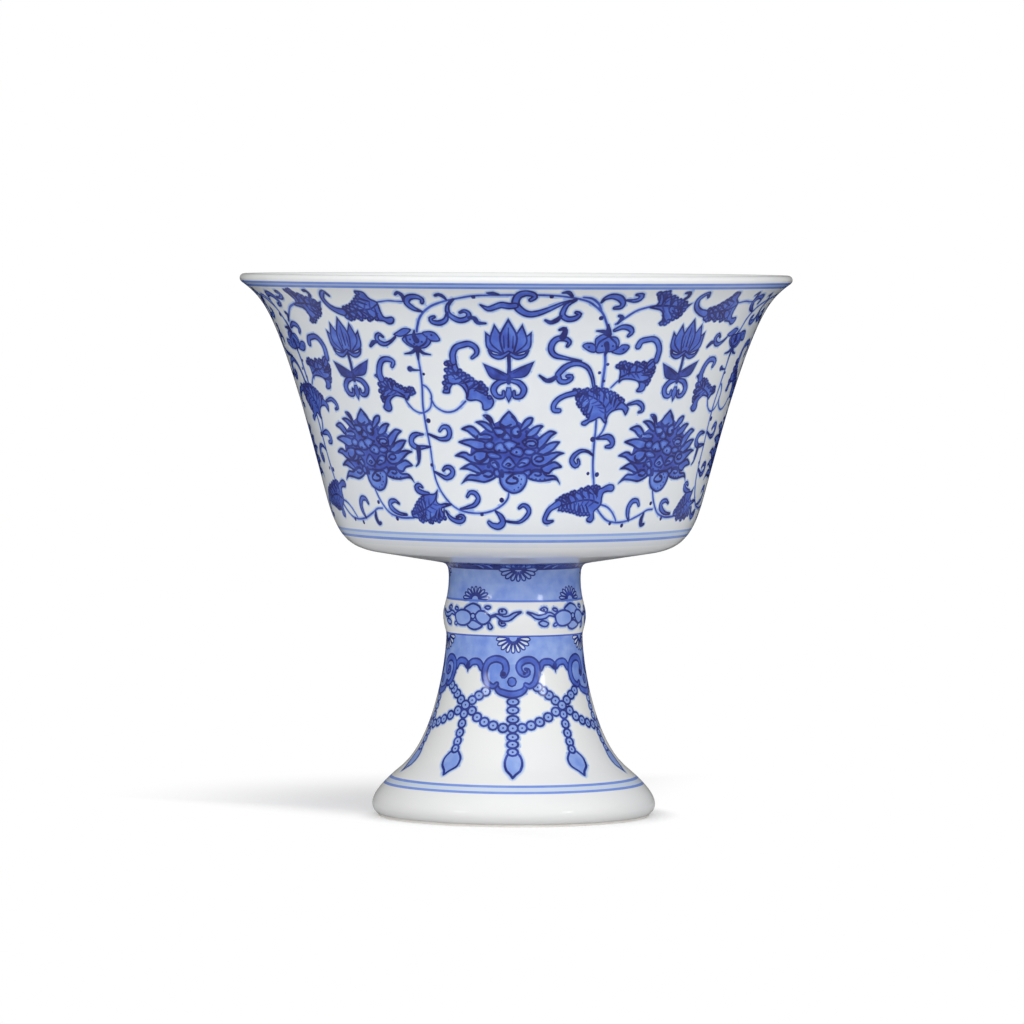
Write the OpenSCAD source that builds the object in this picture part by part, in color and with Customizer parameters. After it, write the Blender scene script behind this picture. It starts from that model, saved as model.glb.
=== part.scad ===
// Porcelain stem cup: a thrown bowl luted with slip onto a hollow thrown stem, under one coat of glaze.
// The axis is Z, the table is z = 0, and every outline is (radius, height) in millimetres.

/* [Rim] */
// Outer diameter over the glazed lip
rim_d = 102; // [90:1:130]
// Thickness of the glazed lip
lip_t = 1.7; // [1.4:0.1:2.4]
// Slope of the wall just under the lip, in degrees from level
lip_slope = 35; // [30:1:50]

/* [Bowl] */
// Height of the bowl, from its underside at the collar to the top of the lip
bowl_h = 52.8; // [45:0.2:65]
// Outer diameter where the flare of the lip runs into the wall
flare_d = 87.2; // [80:0.2:90]
// Drop from the top of the lip to the end of the flare
flare_drop = 11.8; // [10:0.2:16]
// Outer diameter where the wall starts to turn under
turn_d = 69.8; // [64:0.2:74]
// Height above the underside at which the wall starts to turn under
turn_rise = 12; // [10:0.2:15]
// Outer diameter at which the wall has turned into the underside
under_d = 52.2; // [46:0.2:56]
// Rise of the underside from the collar to that diameter
under_rise = 1.7; // [1:0.1:3]
// Thickness of the glazed wall where it turns under
wall_t = 2.8; // [2.2:0.1:4]
// Thickness of the glazed floor at the centre
floor_t = 3.2; // [2.4:0.1:5]

/* [Collar and joint] */
// Height of the turned collar under the bowl
collar_h = 2.8; // [2:0.1:6]
// Size of the fillet between the collar and the underside
collar_fillet = 3.4; // [1.5:0.1:4]
// Thickness of the slip that lutes the collar to the stem
slip_t = 0.4; // [0.2:0.1:1]

/* [Stem] */
// Height of the stem, from the table to the slip
stem_h = 44; // [36:0.2:60]
// Outer diameter at the top of the stem and on the collar
stem_d = 24.4; // [22:0.1:28]
// Outer diameter of the raised ring
ring_d = 26.4; // [25:0.1:30]
// Drop from the top of the stem to the middle of the ring
ring_drop = 7; // [5:0.1:9]
// Outer diameter of the waist under the ring
waist_d = 25.2; // [22:0.1:27]
// Drop from the top of the stem to the waist
waist_drop = 10.6; // [10:0.1:15]
// Diameter of the glazed hollow in the upper stem
hollow_d = 17.6; // [12:0.1:18]

/* [Foot] */
// Outer diameter of the foot
foot_d = 52.4; // [46:0.2:64]
// Radius of the rounded edge of the foot
foot_edge_r = 2.2; // [1.6:0.1:3]
// Outer diameter where the spread of the stem turns into the roll of the foot
roll_d = 42; // [38:0.2:45]
// Height of that turn above the table
roll_h = 8.8; // [7:0.1:12]
// Width of the bare ring that the cup stands on
foot_ring_w = 2.6; // [1.6:0.1:4]
// Width and height of the rounded edge between the bare ring and the hollow
mouth_edge = 1.8; // [1.2:0.1:3]

/* [Glaze] */
// Thickness of the glaze
glaze_t = 0.3; // [0.2:0.05:0.5]
// Height of bare porcelain between the table and the edge of the glaze
bare_h = 0.5; // [0.3:0.1:1]

/* [Hidden] */
$fn = 96;

// Straight lines in each curve, and in each rounded edge
curve_steps = 18;
edge_steps = 10;

// Heights of the joint and of the bowl
collar_z = stem_h + slip_t;
under_z = collar_z + collar_h;
rim_z = under_z + bowl_h;
floor_z = under_z + floor_t;

// Directions along an outline, as (radius, height)
level_out = [1, 0];
level_in = [-1, 0];
straight_up = [0, 1];
straight_down = [0, -1];

// Slopes at the ends of the curves, in degrees from level
flare_end_slope = 68.5;
wall_end_slope = 75;
roll_slope = 39;
hollow_mouth_slope = 52;

function inward_down(slope) = [-cos(slope), -sin(slope)];
function outward_down(slope) = [cos(slope), -sin(slope)];
function unit(v) = v / norm(v);
function left_of(v) = [-v[1], v[0]];
function ease(t) = t * t * (3 - 2 * t);
function reversed(path) = [for (i = [len(path) - 1 : -1 : 0]) path[i]];

// A curve from a to b that leaves along leave and arrives along arrive, with the pulls as shares of the chord
function curve(a, leave, b, arrive, pull_a = 0.36, pull_b = 0.36) =
    let (chord = norm(b - a), p = a + pull_a * chord * leave, q = b - pull_b * chord * arrive)
    [for (i = [0 : curve_steps])
        let (t = i / curve_steps, s = 1 - t)
        s * s * s * a + 3 * s * s * t * p + 3 * s * t * t * q + t * t * t * b];

function arc(centre, r, from, to) =
    [for (i = [0 : edge_steps])
        let (angle = from + (to - from) * i / edge_steps)
        centre + r * [cos(angle), sin(angle)]];

// Outlines laid end to end, each meeting the next at a shared point
function joined(paths) =
    [for (k = [0 : len(paths) - 1], i = [(k == 0 ? 0 : 1) : len(paths[k]) - 1]) paths[k][i]];

// Direction of an outline at point i. The directions at its two ends are given.
function heading(path, i, first, last) =
    i == 0 ? first : i == len(path) - 1 ? last : unit(path[i + 1] - path[i - 1]);

// An outline moved to its left by a distance that eases from d0 to d1 along it
function shifted(path, first, last, d0, d1) =
    [for (i = [0 : len(path) - 1])
        path[i] + (d0 + (d1 - d0) * ease(i / (len(path) - 1))) * left_of(heading(path, i, first, last))];

// Glazed outside of the bowl, from the crest of the lip down to the collar

lip_r = lip_t / 2;
lip_centre = [rim_d / 2 - lip_r, rim_z - lip_r];
lip_dir = inward_down(lip_slope);
flare_start = lip_centre + lip_r * left_of(lip_dir);
flare_end = [flare_d / 2, rim_z - flare_drop];
wall_end = [turn_d / 2, under_z + turn_rise];
under_start = [under_d / 2, under_z + under_rise];
fillet_end = [stem_d / 2, collar_z];
under_slope = atan2(under_rise, (under_d - stem_d) / 2 - collar_fillet);
under_dir = inward_down(under_slope);
fillet_start = under_start + (under_start[0] - stem_d / 2 - collar_fillet) / cos(under_slope) * under_dir;

side_path = joined([
    curve(flare_start, lip_dir, flare_end, inward_down(flare_end_slope), 0.31, 0.5),
    curve(flare_end, inward_down(flare_end_slope), wall_end, inward_down(wall_end_slope), 0.32, 0.3),
    curve(wall_end, inward_down(wall_end_slope), under_start, under_dir, 0.53, 0.38)
]);
bowl_skin = joined([
    arc(lip_centre, lip_r, 90, lip_slope - 90),
    side_path,
    curve(fillet_start, under_dir, fillet_end, straight_down, 0.5, 0.62)
]);

// Glazed inside of the bowl, from the crest of the lip down to the centre of the floor

inner_side = shifted(side_path, lip_dir, under_dir, -lip_t, -wall_t);
inner_path = joined([
    arc(lip_centre, lip_r, 90, 90 + lip_slope),
    inner_side,
    curve(inner_side[len(inner_side) - 1], under_dir, [0, floor_z], level_in)
]);

// Glazed outside of the stem, from its top down to the edge of the glaze on the foot

stem_top = [stem_d / 2, stem_h];
ring_mid = [ring_d / 2, stem_h - ring_drop];
waist_mid = [waist_d / 2, stem_h - waist_drop];
roll_mid = [roll_d / 2, roll_h];
roll_dir = outward_down(roll_slope);
edge_centre = [foot_d / 2 - foot_edge_r, foot_edge_r];
edge_start = edge_centre + [foot_edge_r, 0];
bare_angle = asin((foot_edge_r - bare_h) / foot_edge_r);
bare_dir = [-sin(bare_angle), -cos(bare_angle)];

stem_skin = joined([
    curve(stem_top, straight_down, ring_mid, straight_down, 0.57, 0.3),
    curve(ring_mid, straight_down, waist_mid, straight_down, 0.5, 0.3),
    curve(waist_mid, straight_down, roll_mid, roll_dir, 0.15, 0.32),
    curve(roll_mid, roll_dir, edge_start, straight_down, 0.26, 0.26),
    arc(edge_centre, foot_edge_r, 0, -bare_angle)
]);

// Glazed hollow, from the edge of the glaze inside the foot up to the centre of its ceiling

ring_outer_r = edge_centre[0] + foot_edge_r * cos(bare_angle) - glaze_t;
ring_inner_r = ring_outer_r - foot_ring_w;
hollow_r = hollow_d / 2;
mouth_start = [ring_inner_r - glaze_t, bare_h];
mouth_end = [mouth_start[0] - mouth_edge, bare_h + mouth_edge];
mouth_dir = [-cos(hollow_mouth_slope), sin(hollow_mouth_slope)];
hollow_shoulder = [hollow_r, waist_mid[1]];
ceiling_r = hollow_r / 2;

hollow_path = joined([
    curve(mouth_start, straight_up, mouth_end, mouth_dir),
    curve(mouth_end, mouth_dir, hollow_shoulder, straight_up, 0.36, 0.5),
    [hollow_shoulder, [hollow_r, stem_h], [hollow_r, collar_z]],
    curve([hollow_r, collar_z], straight_up, [ceiling_r, under_z], level_in),
    [[ceiling_r, under_z], [0, under_z]]
]);

// Porcelain under the glaze

bowl_body = shifted(bowl_skin, level_out, straight_down, -glaze_t, -glaze_t);
inner_body = shifted(inner_path, level_in, level_in, glaze_t, glaze_t);
stem_body = shifted(stem_skin, straight_down, bare_dir, -glaze_t, -glaze_t);
hollow_body = shifted(hollow_path, straight_up, level_in, -glaze_t, -glaze_t);
hollow_in_bowl = [for (p = hollow_body) if (p[1] >= collar_z - 0.001) p];
hollow_in_stem = [for (p = hollow_body) if (p[1] <= stem_h + 0.001) p];

// Thrown bowl with its turned collar
module bowl() {
    color("ghostwhite")
    rotate_extrude()
    polygon(concat(bowl_body, hollow_in_bowl, reversed(inner_body)));
}

// Thrown hollow stem with its raised ring and spreading foot, which stands on a bare ring
module stem() {
    color("whitesmoke")
    rotate_extrude()
    polygon(concat(stem_body, [[ring_outer_r, 0], [ring_inner_r, 0]], hollow_in_stem));
}

// Slip between the end of the stem and the collar
module luting_slip() {
    color("lightgray")
    translate([0, 0, stem_h])
    difference() {
        cylinder(d = stem_d - 2 * glaze_t, h = slip_t);
        translate([0, 0, -slip_t]) cylinder(r = hollow_r + glaze_t, h = 3 * slip_t);
    }
}

// Coat over the whole cup, from the floor of the bowl over the lip and down to the foot
module cup_glaze() {
    color("aliceblue")
    rotate_extrude()
    polygon(concat(
        reversed(inner_path), bowl_skin, stem_skin, reversed(stem_body), reversed(bowl_body), inner_body
    ));
}

// Coat inside the hollow stem, up to and over the underside of the bowl
module foot_glaze() {
    color("aliceblue")
    rotate_extrude()
    polygon(concat(hollow_path, reversed(hollow_body)));
}

bowl();
stem();
luting_slip();
cup_glaze();
foot_glaze();
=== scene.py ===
"""Porcelain stem cup with underglaze blue painting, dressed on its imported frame.

Lengths are in metres, as in the frame. The painting is laid out in millimetres on the unrolled wall."""

import math

import bmesh
import bpy
import numpy as np
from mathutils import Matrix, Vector
from mathutils.geometry import delaunay_2d_cdt


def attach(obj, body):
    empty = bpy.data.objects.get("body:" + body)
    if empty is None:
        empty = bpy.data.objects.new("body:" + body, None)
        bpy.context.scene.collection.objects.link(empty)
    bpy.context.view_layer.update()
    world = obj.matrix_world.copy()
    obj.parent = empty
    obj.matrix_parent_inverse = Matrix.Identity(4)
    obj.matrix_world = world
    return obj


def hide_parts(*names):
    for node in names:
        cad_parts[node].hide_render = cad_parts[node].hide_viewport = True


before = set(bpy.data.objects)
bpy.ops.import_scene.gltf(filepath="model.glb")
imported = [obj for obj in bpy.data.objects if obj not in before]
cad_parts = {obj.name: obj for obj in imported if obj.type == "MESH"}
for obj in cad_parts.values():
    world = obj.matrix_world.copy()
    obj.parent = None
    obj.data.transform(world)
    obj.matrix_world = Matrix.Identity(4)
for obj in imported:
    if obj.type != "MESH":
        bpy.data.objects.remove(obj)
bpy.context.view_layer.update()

# View
# A long lens at the height of the rim, about a metre in front of the cup and turned slightly down.
# The cup stands a little right of the middle of the picture and leans by a quarter of a degree.

view = bpy.data.objects.new("view", bpy.data.cameras.new("view"))
bpy.context.scene.collection.objects.link(view)
view.data.sensor_width = 36
view.data.lens = 217
view.data.clip_end = 20
view.location = (-0.0008, -1.140, 0.108)
view.rotation_euler = (math.radians(90 - 2.607), math.radians(-0.27), 0)
bpy.context.scene.camera = view
bpy.context.scene.view_settings.view_transform = "Standard"

# Table and light
# A smooth white table in front of a white wall. The soft shadow of the cup shows on its left, and the rest is
# white to the camera. The room is bright behind the camera and dim behind the cup, with a wide lamp on the
# right, one overhead, and two small bare ones that give the sparks on the glaze.

WHITE = (1, 1, 1, 1)

table_mesh = bmesh.new()
bmesh.ops.create_grid(table_mesh, x_segments=2, y_segments=2, size=6)
table_data = bpy.data.meshes.new("table")
table_mesh.to_mesh(table_data)
table_mesh.free()
table = bpy.data.objects.new("table", table_data)
bpy.context.scene.collection.objects.link(table)


def new_finish(name):
    """A new material and its node tree."""
    finish = bpy.data.materials.new(name)
    finish.use_nodes = True
    return finish, finish.node_tree


def join(tree, node, sockets):
    """Give each socket of a node its value, or join it to the output of another node."""
    for name, value in sockets.items():
        if isinstance(value, bpy.types.NodeSocket):
            tree.links.new(value, node.inputs[name])
        else:
            node.inputs[name].default_value = value


def put(tree, kind, sockets, out=0, **settings):
    """Add a node with its settings and sockets, and return one of its outputs."""
    node = tree.nodes.new("ShaderNode" + kind)
    for name, value in settings.items():
        setattr(node, name, value)
    join(tree, node, sockets)
    return node.outputs[out] if len(node.outputs) else None


def ranged(tree, value, start, end, low=0, high=1, ease="LINEAR"):
    """An output that goes from low to high while a value goes from start to end."""
    sockets = {"Value": value, "From Min": start, "From Max": end, "To Min": low, "To Max": high}
    return put(tree, "MapRange", sockets, "Result", interpolation_type=ease)


def tones(tree, value, stops):
    """The colours of the stops, blended along a value."""
    ramp = tree.nodes.new("ShaderNodeValToRGB")
    marks = ramp.color_ramp.elements
    for mark, (position, colour) in zip(marks, (stops[0], stops[-1])):
        mark.position = position
        mark.color = (*colour, 1)
    for position, colour in stops[1:-1]:
        marks.new(position).color = (*colour, 1)
    join(tree, ramp, {"Fac": value})
    return ramp.outputs["Color"]


table_white, tree = new_finish("table_white")
tree.nodes.clear()
table_place = put(tree, "TexCoord", {}, "Object")


def table_gap(operation, mark):
    """How far a place on the table is from a mark, or how far it lies along a direction."""
    return put(tree, "VectorMath", {0: table_place, 1: mark}, "Value", operation=operation)


# The camera sees plain white past the far end of the shadow and on both sides of it, but not at the foot
table_reach = table_gap("DISTANCE", (0, 0, 0))
table_clear = ranged(tree, table_gap("DISTANCE", (0, 0.016, 0)), 0.03, 0.085, ease="SMOOTHSTEP")
for rule, gap, start, end in (
        ("MAXIMUM", table_gap("DOT_PRODUCT", (-0.70, -0.72, 0)), 0.012, 0.032),
        ("MAXIMUM", table_gap("DOT_PRODUCT", (0.98, -0.2, 0)), -0.012, 0.024),
        ("MINIMUM", table_reach, 0.0262, 0.0315)):
    step = ranged(tree, gap, start, end, ease="SMOOTHSTEP")
    table_clear = put(tree, "Math", {0: table_clear, 1: step}, operation=rule)
table_shown = put(tree, "BsdfDiffuse", {"Color": (0.86, 0.86, 0.86, 1)})
table_glow = put(tree, "Emission", {"Color": WHITE, "Strength": 0.22})
table_lit = put(tree, "AddShader", {0: table_shown, 1: table_glow})
table_far = put(tree, "Emission", {"Color": WHITE, "Strength": 1})
table_run = put(tree, "MixShader", {0: table_clear, 1: table_lit, 2: table_far})

# The light that the table throws back is dimmer close to the foot, far out and behind the cup
table_greys = ((0.06, 0.62), (0.16, 0.85), (0.36, 0.85), (0.6, 0.06))
table_grey = tones(tree, table_reach, [(gap, (grey, grey, grey)) for gap, grey in table_greys])
table_dusk = ranged(tree, table_gap("DOT_PRODUCT", (0, 1, 0)), 0.02, 0.22, 1, 0.1)
table_dimmed = put(tree, "VectorMath", {0: table_grey, "Scale": table_dusk}, operation="SCALE")
table_matt = put(tree, "BsdfDiffuse", {"Color": table_dimmed})
table_path = put(tree, "LightPath", {}, "Is Camera Ray")
table_seen = put(tree, "MixShader", {0: table_path, 1: table_matt, 2: table_run})
put(tree, "OutputMaterial", {"Surface": table_seen})
table_data.materials.append(table_white)

# The wall is white to the camera, and the room is a little dimmer in the mirror of the glaze
room = bpy.data.worlds.new("room")
room.use_nodes = True
bpy.context.scene.world = room
tree = room.node_tree
tree.nodes.clear()
room_way = put(tree, "TexCoord", {}, "Generated")
room_front = put(tree, "VectorMath", {0: room_way, 1: (0, -1, 0.04)}, "Value", operation="DOT_PRODUCT")
room_glow = ranged(tree, room_front, -0.42, 1, 0.24, 1.67, ease="SMOOTHSTEP")
room_glossy = put(tree, "LightPath", {}, "Is Glossy Ray")
room_mirrored = put(tree, "Math", {0: room_glossy, 1: -0.45, 2: 1}, operation="MULTIPLY_ADD")
room_level = put(tree, "Math", {0: room_glow, 1: room_mirrored}, operation="MULTIPLY")
room_light = put(tree, "Background", {"Color": WHITE, "Strength": room_level})
room_wall = put(tree, "Background", {"Color": WHITE, "Strength": 1})
room_path = put(tree, "LightPath", {}, "Is Camera Ray")
room_seen = put(tree, "MixShader", {0: room_path, 1: room_light, 2: room_wall})
put(tree, "OutputWorld", {"Surface": room_seen})


def hang_lamp(name, round_by, up_by, away, wide, high, watts):
    """A flat lamp that faces the cup, turned round it to the right and up by degrees."""
    turn, lift = math.radians(round_by), math.radians(up_by)
    level = away * math.cos(lift)
    aim = Vector((0, 0, 0.05))
    place = aim + Vector((level * math.sin(turn), -level * math.cos(turn), away * math.sin(lift)))
    lamp = bpy.data.objects.new(name, bpy.data.lights.new(name, "AREA"))
    lamp.data.shape = "RECTANGLE"
    lamp.data.size = wide
    lamp.data.size_y = high
    lamp.data.energy = watts
    lamp.location = place
    lamp.rotation_euler = (aim - place).to_track_quat("-Z", "Y").to_euler()
    bpy.context.scene.collection.objects.link(lamp)


hang_lamp("soft_right", 50, 34, 1.5, 1.2, 1.2, 1.0)
hang_lamp("spark_right", 45, 15, 1.1, 0.18, 0.12, 0.7)
hang_lamp("spark_left", -45, 15, 1.1, 0.18, 0.12, 0.55)
hang_lamp("top_soft", 0, 80, 1.4, 0.9, 0.9, 1.0)

# Porcelain body
# The thrown bowl and stem, of hard white porcelain fired to a close matt surface.
# It shows only on the ring that the cup stands on, which is wiped clean of glaze and fires faintly buff.

biscuit, tree = new_finish("biscuit")
biscuit_place = put(tree, "TexCoord", {}, "Object")
biscuit_cloud = put(tree, "TexNoise", {"Vector": biscuit_place, "Scale": 160, "Detail": 4}, "Fac")
biscuit_grain = put(tree, "TexNoise", {"Vector": biscuit_place, "Scale": 4200}, "Fac")
join(tree, tree.nodes["Principled BSDF"], {
    "Base Color": tones(tree, biscuit_cloud, ((0.3, (0.79, 0.76, 0.71)), (0.7, (0.87, 0.85, 0.82)))),
    "Roughness": ranged(tree, biscuit_cloud, 0, 1, 0.6, 0.8),
    "Specular IOR Level": 0.3,
    "Normal": put(tree, "Bump", {"Height": biscuit_grain, "Strength": 0.25, "Distance": 0.00005}),
})


def dress(name, finish):
    """Give a solid of the frame its finish."""
    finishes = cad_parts[name].data.materials
    finishes.clear()
    finishes.append(finish)


dress("bowl", biscuit)
dress("stem", biscuit)

# Luting slip
# Porcelain slip, brushed on the end of the stem and the collar of the bowl to join them, and fired with them.
# It dries a little more buff than the bodies, and the glaze hides it.

fired_slip = biscuit.copy()
fired_slip.name = "fired_slip"
for node in fired_slip.node_tree.nodes:
    if node.bl_idname == "ShaderNodeValToRGB":
        node.color_ramp.elements[0].color = (0.74, 0.70, 0.63, 1)
        node.color_ramp.elements[1].color = (0.84, 0.82, 0.78, 1)
dress("luting_slip", fired_slip)

# Coat of glaze
# One coat from the floor of the bowl over the lip and down to the foot, with the painting under it. Its
# section is walked on the coat of the frame, ring by ring from the floor of the bowl, in hundredths of a
# millimetre, and then cut into steps of 1.5 mm at most.

HUNDREDTHS = 1e5
LONGEST = 1.5
coat_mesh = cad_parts["cup_glaze"].data
rings = {}
ring_of = []
for vertex in coat_mesh.vertices:
    key = (round(math.hypot(vertex.co.x, vertex.co.y) * HUNDREDTHS), round(vertex.co.z * HUNDREDTHS))
    rings.setdefault(key, set())
    ring_of.append(key)
for edge in coat_mesh.edges:
    a, b = ring_of[edge.vertices[0]], ring_of[edge.vertices[1]]
    if a != b:
        rings[a].add(b)
        rings[b].add(a)
section = [max((key for key in rings if key[0] < 2), key=lambda key: key[1])]
while True:
    onward = [key for key in rings[section[-1]] if key not in section]
    if not onward:
        break
    section.append(min(onward, key=lambda key: math.dist(key, section[-1])))
section = np.array(section) / 100
short = [section[:1]]
for a, b in zip(section, section[1:]):
    parts = max(1, round(math.dist(a, b) / LONGEST))
    short.append(a + (b - a) * np.arange(1, parts + 1)[:, None] / parts)
section = np.vstack(short)


def flow(points, closed=False, gap=0.3):
    """A smooth line through the points, with a step about every gap."""
    p = np.array(points, float)
    if closed:
        q = np.vstack([p[-1:], p, p[:2]])
    else:
        q = np.vstack([2 * p[:1] - p[1:2], p, 2 * p[-1:] - p[-2:-1]])
    run = []
    for a, b, c, d in zip(q[:-3], q[1:-2], q[2:-1], q[3:]):
        steps = max(1, round(np.linalg.norm(c - b) / gap))
        t = np.arange(steps)[:, None] / steps
        bend = 2 * a - 5 * b + 4 * c - d + t * (3 * b - a - 3 * c + d)
        run.append(b + 0.5 * t * (c - a + t * bend))
    if not closed:
        run.append(p[-1:])
    return np.vstack(run)


crest = int(np.argmax(section[:, 1]))
glaze_end = int(np.argmin(section[:, 1]))
outside = flow(section[crest:glaze_end + 1], gap=0.25)
heading = np.gradient(outside, axis=0)
heading /= np.linalg.norm(heading, axis=1)[:, None]


def skin(z):
    """Radius and outward slope of the outside of the coat at a height in millimetres."""
    r = np.interp(-z, -outside[:, 1], outside[:, 0])
    nr = np.interp(-z, -outside[:, 1], -heading[:, 1])
    nz = np.interp(-z, -outside[:, 1], heading[:, 0])
    return r, nr, nz


# Brushes
# Cobalt oxide ground in water, laid on the raw body with a pointed brush: a fine dark line first, then
# a fuller brush of thinner blue inside it. Each stroke covers what it crosses.

# Strengths of the blue from the palest on, how far it bleeds, the round tip of the brush in radians, and how
# much fuller a tendril and how much finer a stalk is drawn than its widths say
BLEED, PALE, HEART, WASH, LINE, DEEP, DARK = 0.2, 0.36, 0.48, 0.6, 0.7, 0.8, 0.95
BLED_OUT = 0.22
HALO = 1.8
NIB = (0.8, 0, -0.8)
FULL, FINE = 1.16, 0.8
picture = []


def plain(path, slack=0.016):
    """The line without the points that it hardly bends at."""
    if len(path) < 3:
        return path
    reach = path[-1] - path[0]
    out = path - path[0]
    off = np.abs(out[:, 0] * reach[1] - out[:, 1] * reach[0]) / (np.linalg.norm(reach) + 1e-9)
    if np.linalg.norm(reach) < 1e-6:
        off = np.linalg.norm(out, axis=1)
    far = int(np.argmax(off))
    if off[far] < slack:
        return path[[0, -1]]
    return np.vstack([plain(path[:far + 1], slack), plain(path[far:], slack)[1:]])


def lay(outline, strength, bleed=0):
    """Add a shape, turned anticlockwise, over a rim of blue that has bled out of it."""
    x, y = outline[:, 0], outline[:, 1]
    if np.sum(x * np.roll(y, -1) - y * np.roll(x, -1)) < 0:
        outline = outline[::-1]
    if bleed:
        wider = inside_line(outline, -bleed * HALO)
        picture.append((plain(np.vstack([wider, wider[:1]]), 0.03)[:-1], BLEED))
    picture.append((plain(np.vstack([outline, outline[:1]]))[:-1], strength))


def brush(points, widths, strength, inset=0, bleed=BLED_OUT):
    """A stroke with a round start and end, whose width changes along it."""
    path = flow(points)
    way = np.r_[0, np.cumsum(np.linalg.norm(np.diff(path, axis=0), axis=1))]
    wide = np.interp(way / way[-1], np.linspace(0, 1, len(widths)), widths) / 2 - inset
    if inset:
        full = np.flatnonzero(wide > 0.04)
        if len(full) < 4:
            return
        path, wide = path[full[0]:full[-1] + 1], np.maximum(wide[full[0]:full[-1] + 1], 0.02)
    along = np.gradient(path, axis=0)
    along /= np.linalg.norm(along, axis=1)[:, None] + 1e-9
    side = np.c_[-along[:, 1], along[:, 0]]
    head = [path[-1] + wide[-1] * (math.cos(a) * along[-1] + math.sin(a) * side[-1]) for a in NIB]
    tail = [path[0] - wide[0] * (math.cos(a) * along[0] + math.sin(a) * side[0]) for a in NIB]
    edge = np.vstack([path + side * wide[:, None], head, (path - side * wide[:, None])[::-1], tail])
    lay(edge, strength, 0 if inset else bleed)


def curl(points, widths, heart=WASH, line=0.3):
    """A curled tendril with a dark line on both sides and a wash between them."""
    widths = [FULL * w for w in widths]
    brush(points, widths, DARK)
    brush(points, widths, heart, inset=line)


def vine(points, widths):
    """A fine stalk of the scroll."""
    brush(points, [FINE * w for w in widths], LINE)


def dot(u, z, r, strength=DARK):
    """A touch of the tip of the brush."""
    sides = 6 if r < 0.4 else 8
    a = np.arange(sides) * math.tau / sides
    lay(np.c_[u + r * np.cos(a), z + r * np.sin(a)], strength)


def inside_line(outline, gap):
    """The outline drawn in by a brush's width."""
    x, y = outline[:, 0], outline[:, 1]
    turn = 1 if np.sum(x * np.roll(y, -1) - y * np.roll(x, -1)) > 0 else -1
    along = np.roll(outline, -1, axis=0) - np.roll(outline, 1, axis=0)
    along /= np.linalg.norm(along, axis=1)[:, None] + 1e-9
    return (outline + turn * gap * np.c_[-along[:, 1], along[:, 0]])[::turn]


def blade(points, line=0.26, heart=WASH):
    """A closed shape with a dark line round it and a wash inside."""
    outline = flow(points, closed=True)
    lay(outline, DARK, BLED_OUT)
    lay(inside_line(outline, line), heart)
    return outline


def petal(root, tip, width, bend=0.0, line=0.24, heart=WASH):
    """A pointed petal, bent to one side between its root and its tip."""
    root, tip = np.array(root, float), np.array(tip, float)
    along = tip - root
    side = np.array([-along[1], along[0]]) / np.linalg.norm(along)
    belly = root + 0.5 * along + bend * side
    left = flow([root + 0.3 * width * side, belly + 0.5 * width * side, tip], gap=0.4)
    right = flow([root - 0.3 * width * side, belly - 0.5 * width * side, tip], gap=0.4)
    outline = np.vstack([left, right[-2::-1]])
    lay(outline, DARK, BLED_OUT)
    lay(inside_line(outline[::-1], line), heart)


def in_outline(points, outline):
    """How often an outline winds round each point."""
    x, y = points[:, :1], points[:, 1:]
    x0, y0 = outline[:, 0], outline[:, 1]
    x1, y1 = np.roll(x0, -1), np.roll(y0, -1)
    turn = (x1 - x0) * (y - y0) - (x - x0) * (y1 - y0)
    upward = (y0 <= y) & (y1 > y) & (turn > 0)
    downward = (y0 > y) & (y1 <= y) & (turn < 0)
    return np.sum(upward, axis=1) - np.sum(downward, axis=1)


def leaf(points, spine, fringe=(), heart=WASH):
    """A leaf with veins, and a fringe of round lobes on short dark barbs along stretches of its edge."""
    outline = blade(points, 0.32, heart)
    brush(spine, (0.4, 0.28), DARK, bleed=0)
    rib = flow(spine, gap=1.1)
    for a, b, c in zip(rib, rib[1:], rib[2:]):
        along = (c - a) / np.linalg.norm(c - a)
        for hand in (1, -1):
            out = hand * np.array([-along[1], along[0]])
            vein = b + np.array([0.1 * out, 0.6 * out + 0.3 * along, 1.2 * out + 0.8 * along])
            if in_outline(vein[2:] + 0.5 * out, outline)[0]:
                brush(vein, (0.3, 0.32, 0.16), DEEP, bleed=0)
    middle = np.mean(points, axis=0)
    for first, last in fringe:
        edge = flow([points[i % len(points)] for i in range(first, last + 1)], gap=0.1)
        for k in range(4, len(edge) - 4, 8):
            along = (edge[k + 4] - edge[k - 4]) / np.linalg.norm(edge[k + 4] - edge[k - 4])
            inward = np.array([-along[1], along[0]])
            if np.dot(inward, middle - edge[k]) < 0:
                inward = -inward
            barb = edge[k] + np.array([0.3 * inward, 0.9 * inward + 0.14 * along, 2 * inward + 0.7 * along])
            if in_outline(barb[2:] + 0.3 * inward, outline)[0]:
                brush(barb, (0.5, 0.44, 0.2), DARK, bleed=0)
            dot(*(edge[k] + 0.25 * inward), 0.5)
            dot(*(edge[k] + 0.28 * inward), 0.2, LINE)


# Bowl painting
# A quarter of the wall, painted four times round: two lotus heads, each under an upright bud, with a leafy
# scroll between them. Across is millimetres on a wall of 39 mm radius, and up is the height.

bowl_turn = 39 * math.pi / 180
second_axis = 31.8
scroll_shift = 1.2

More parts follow.
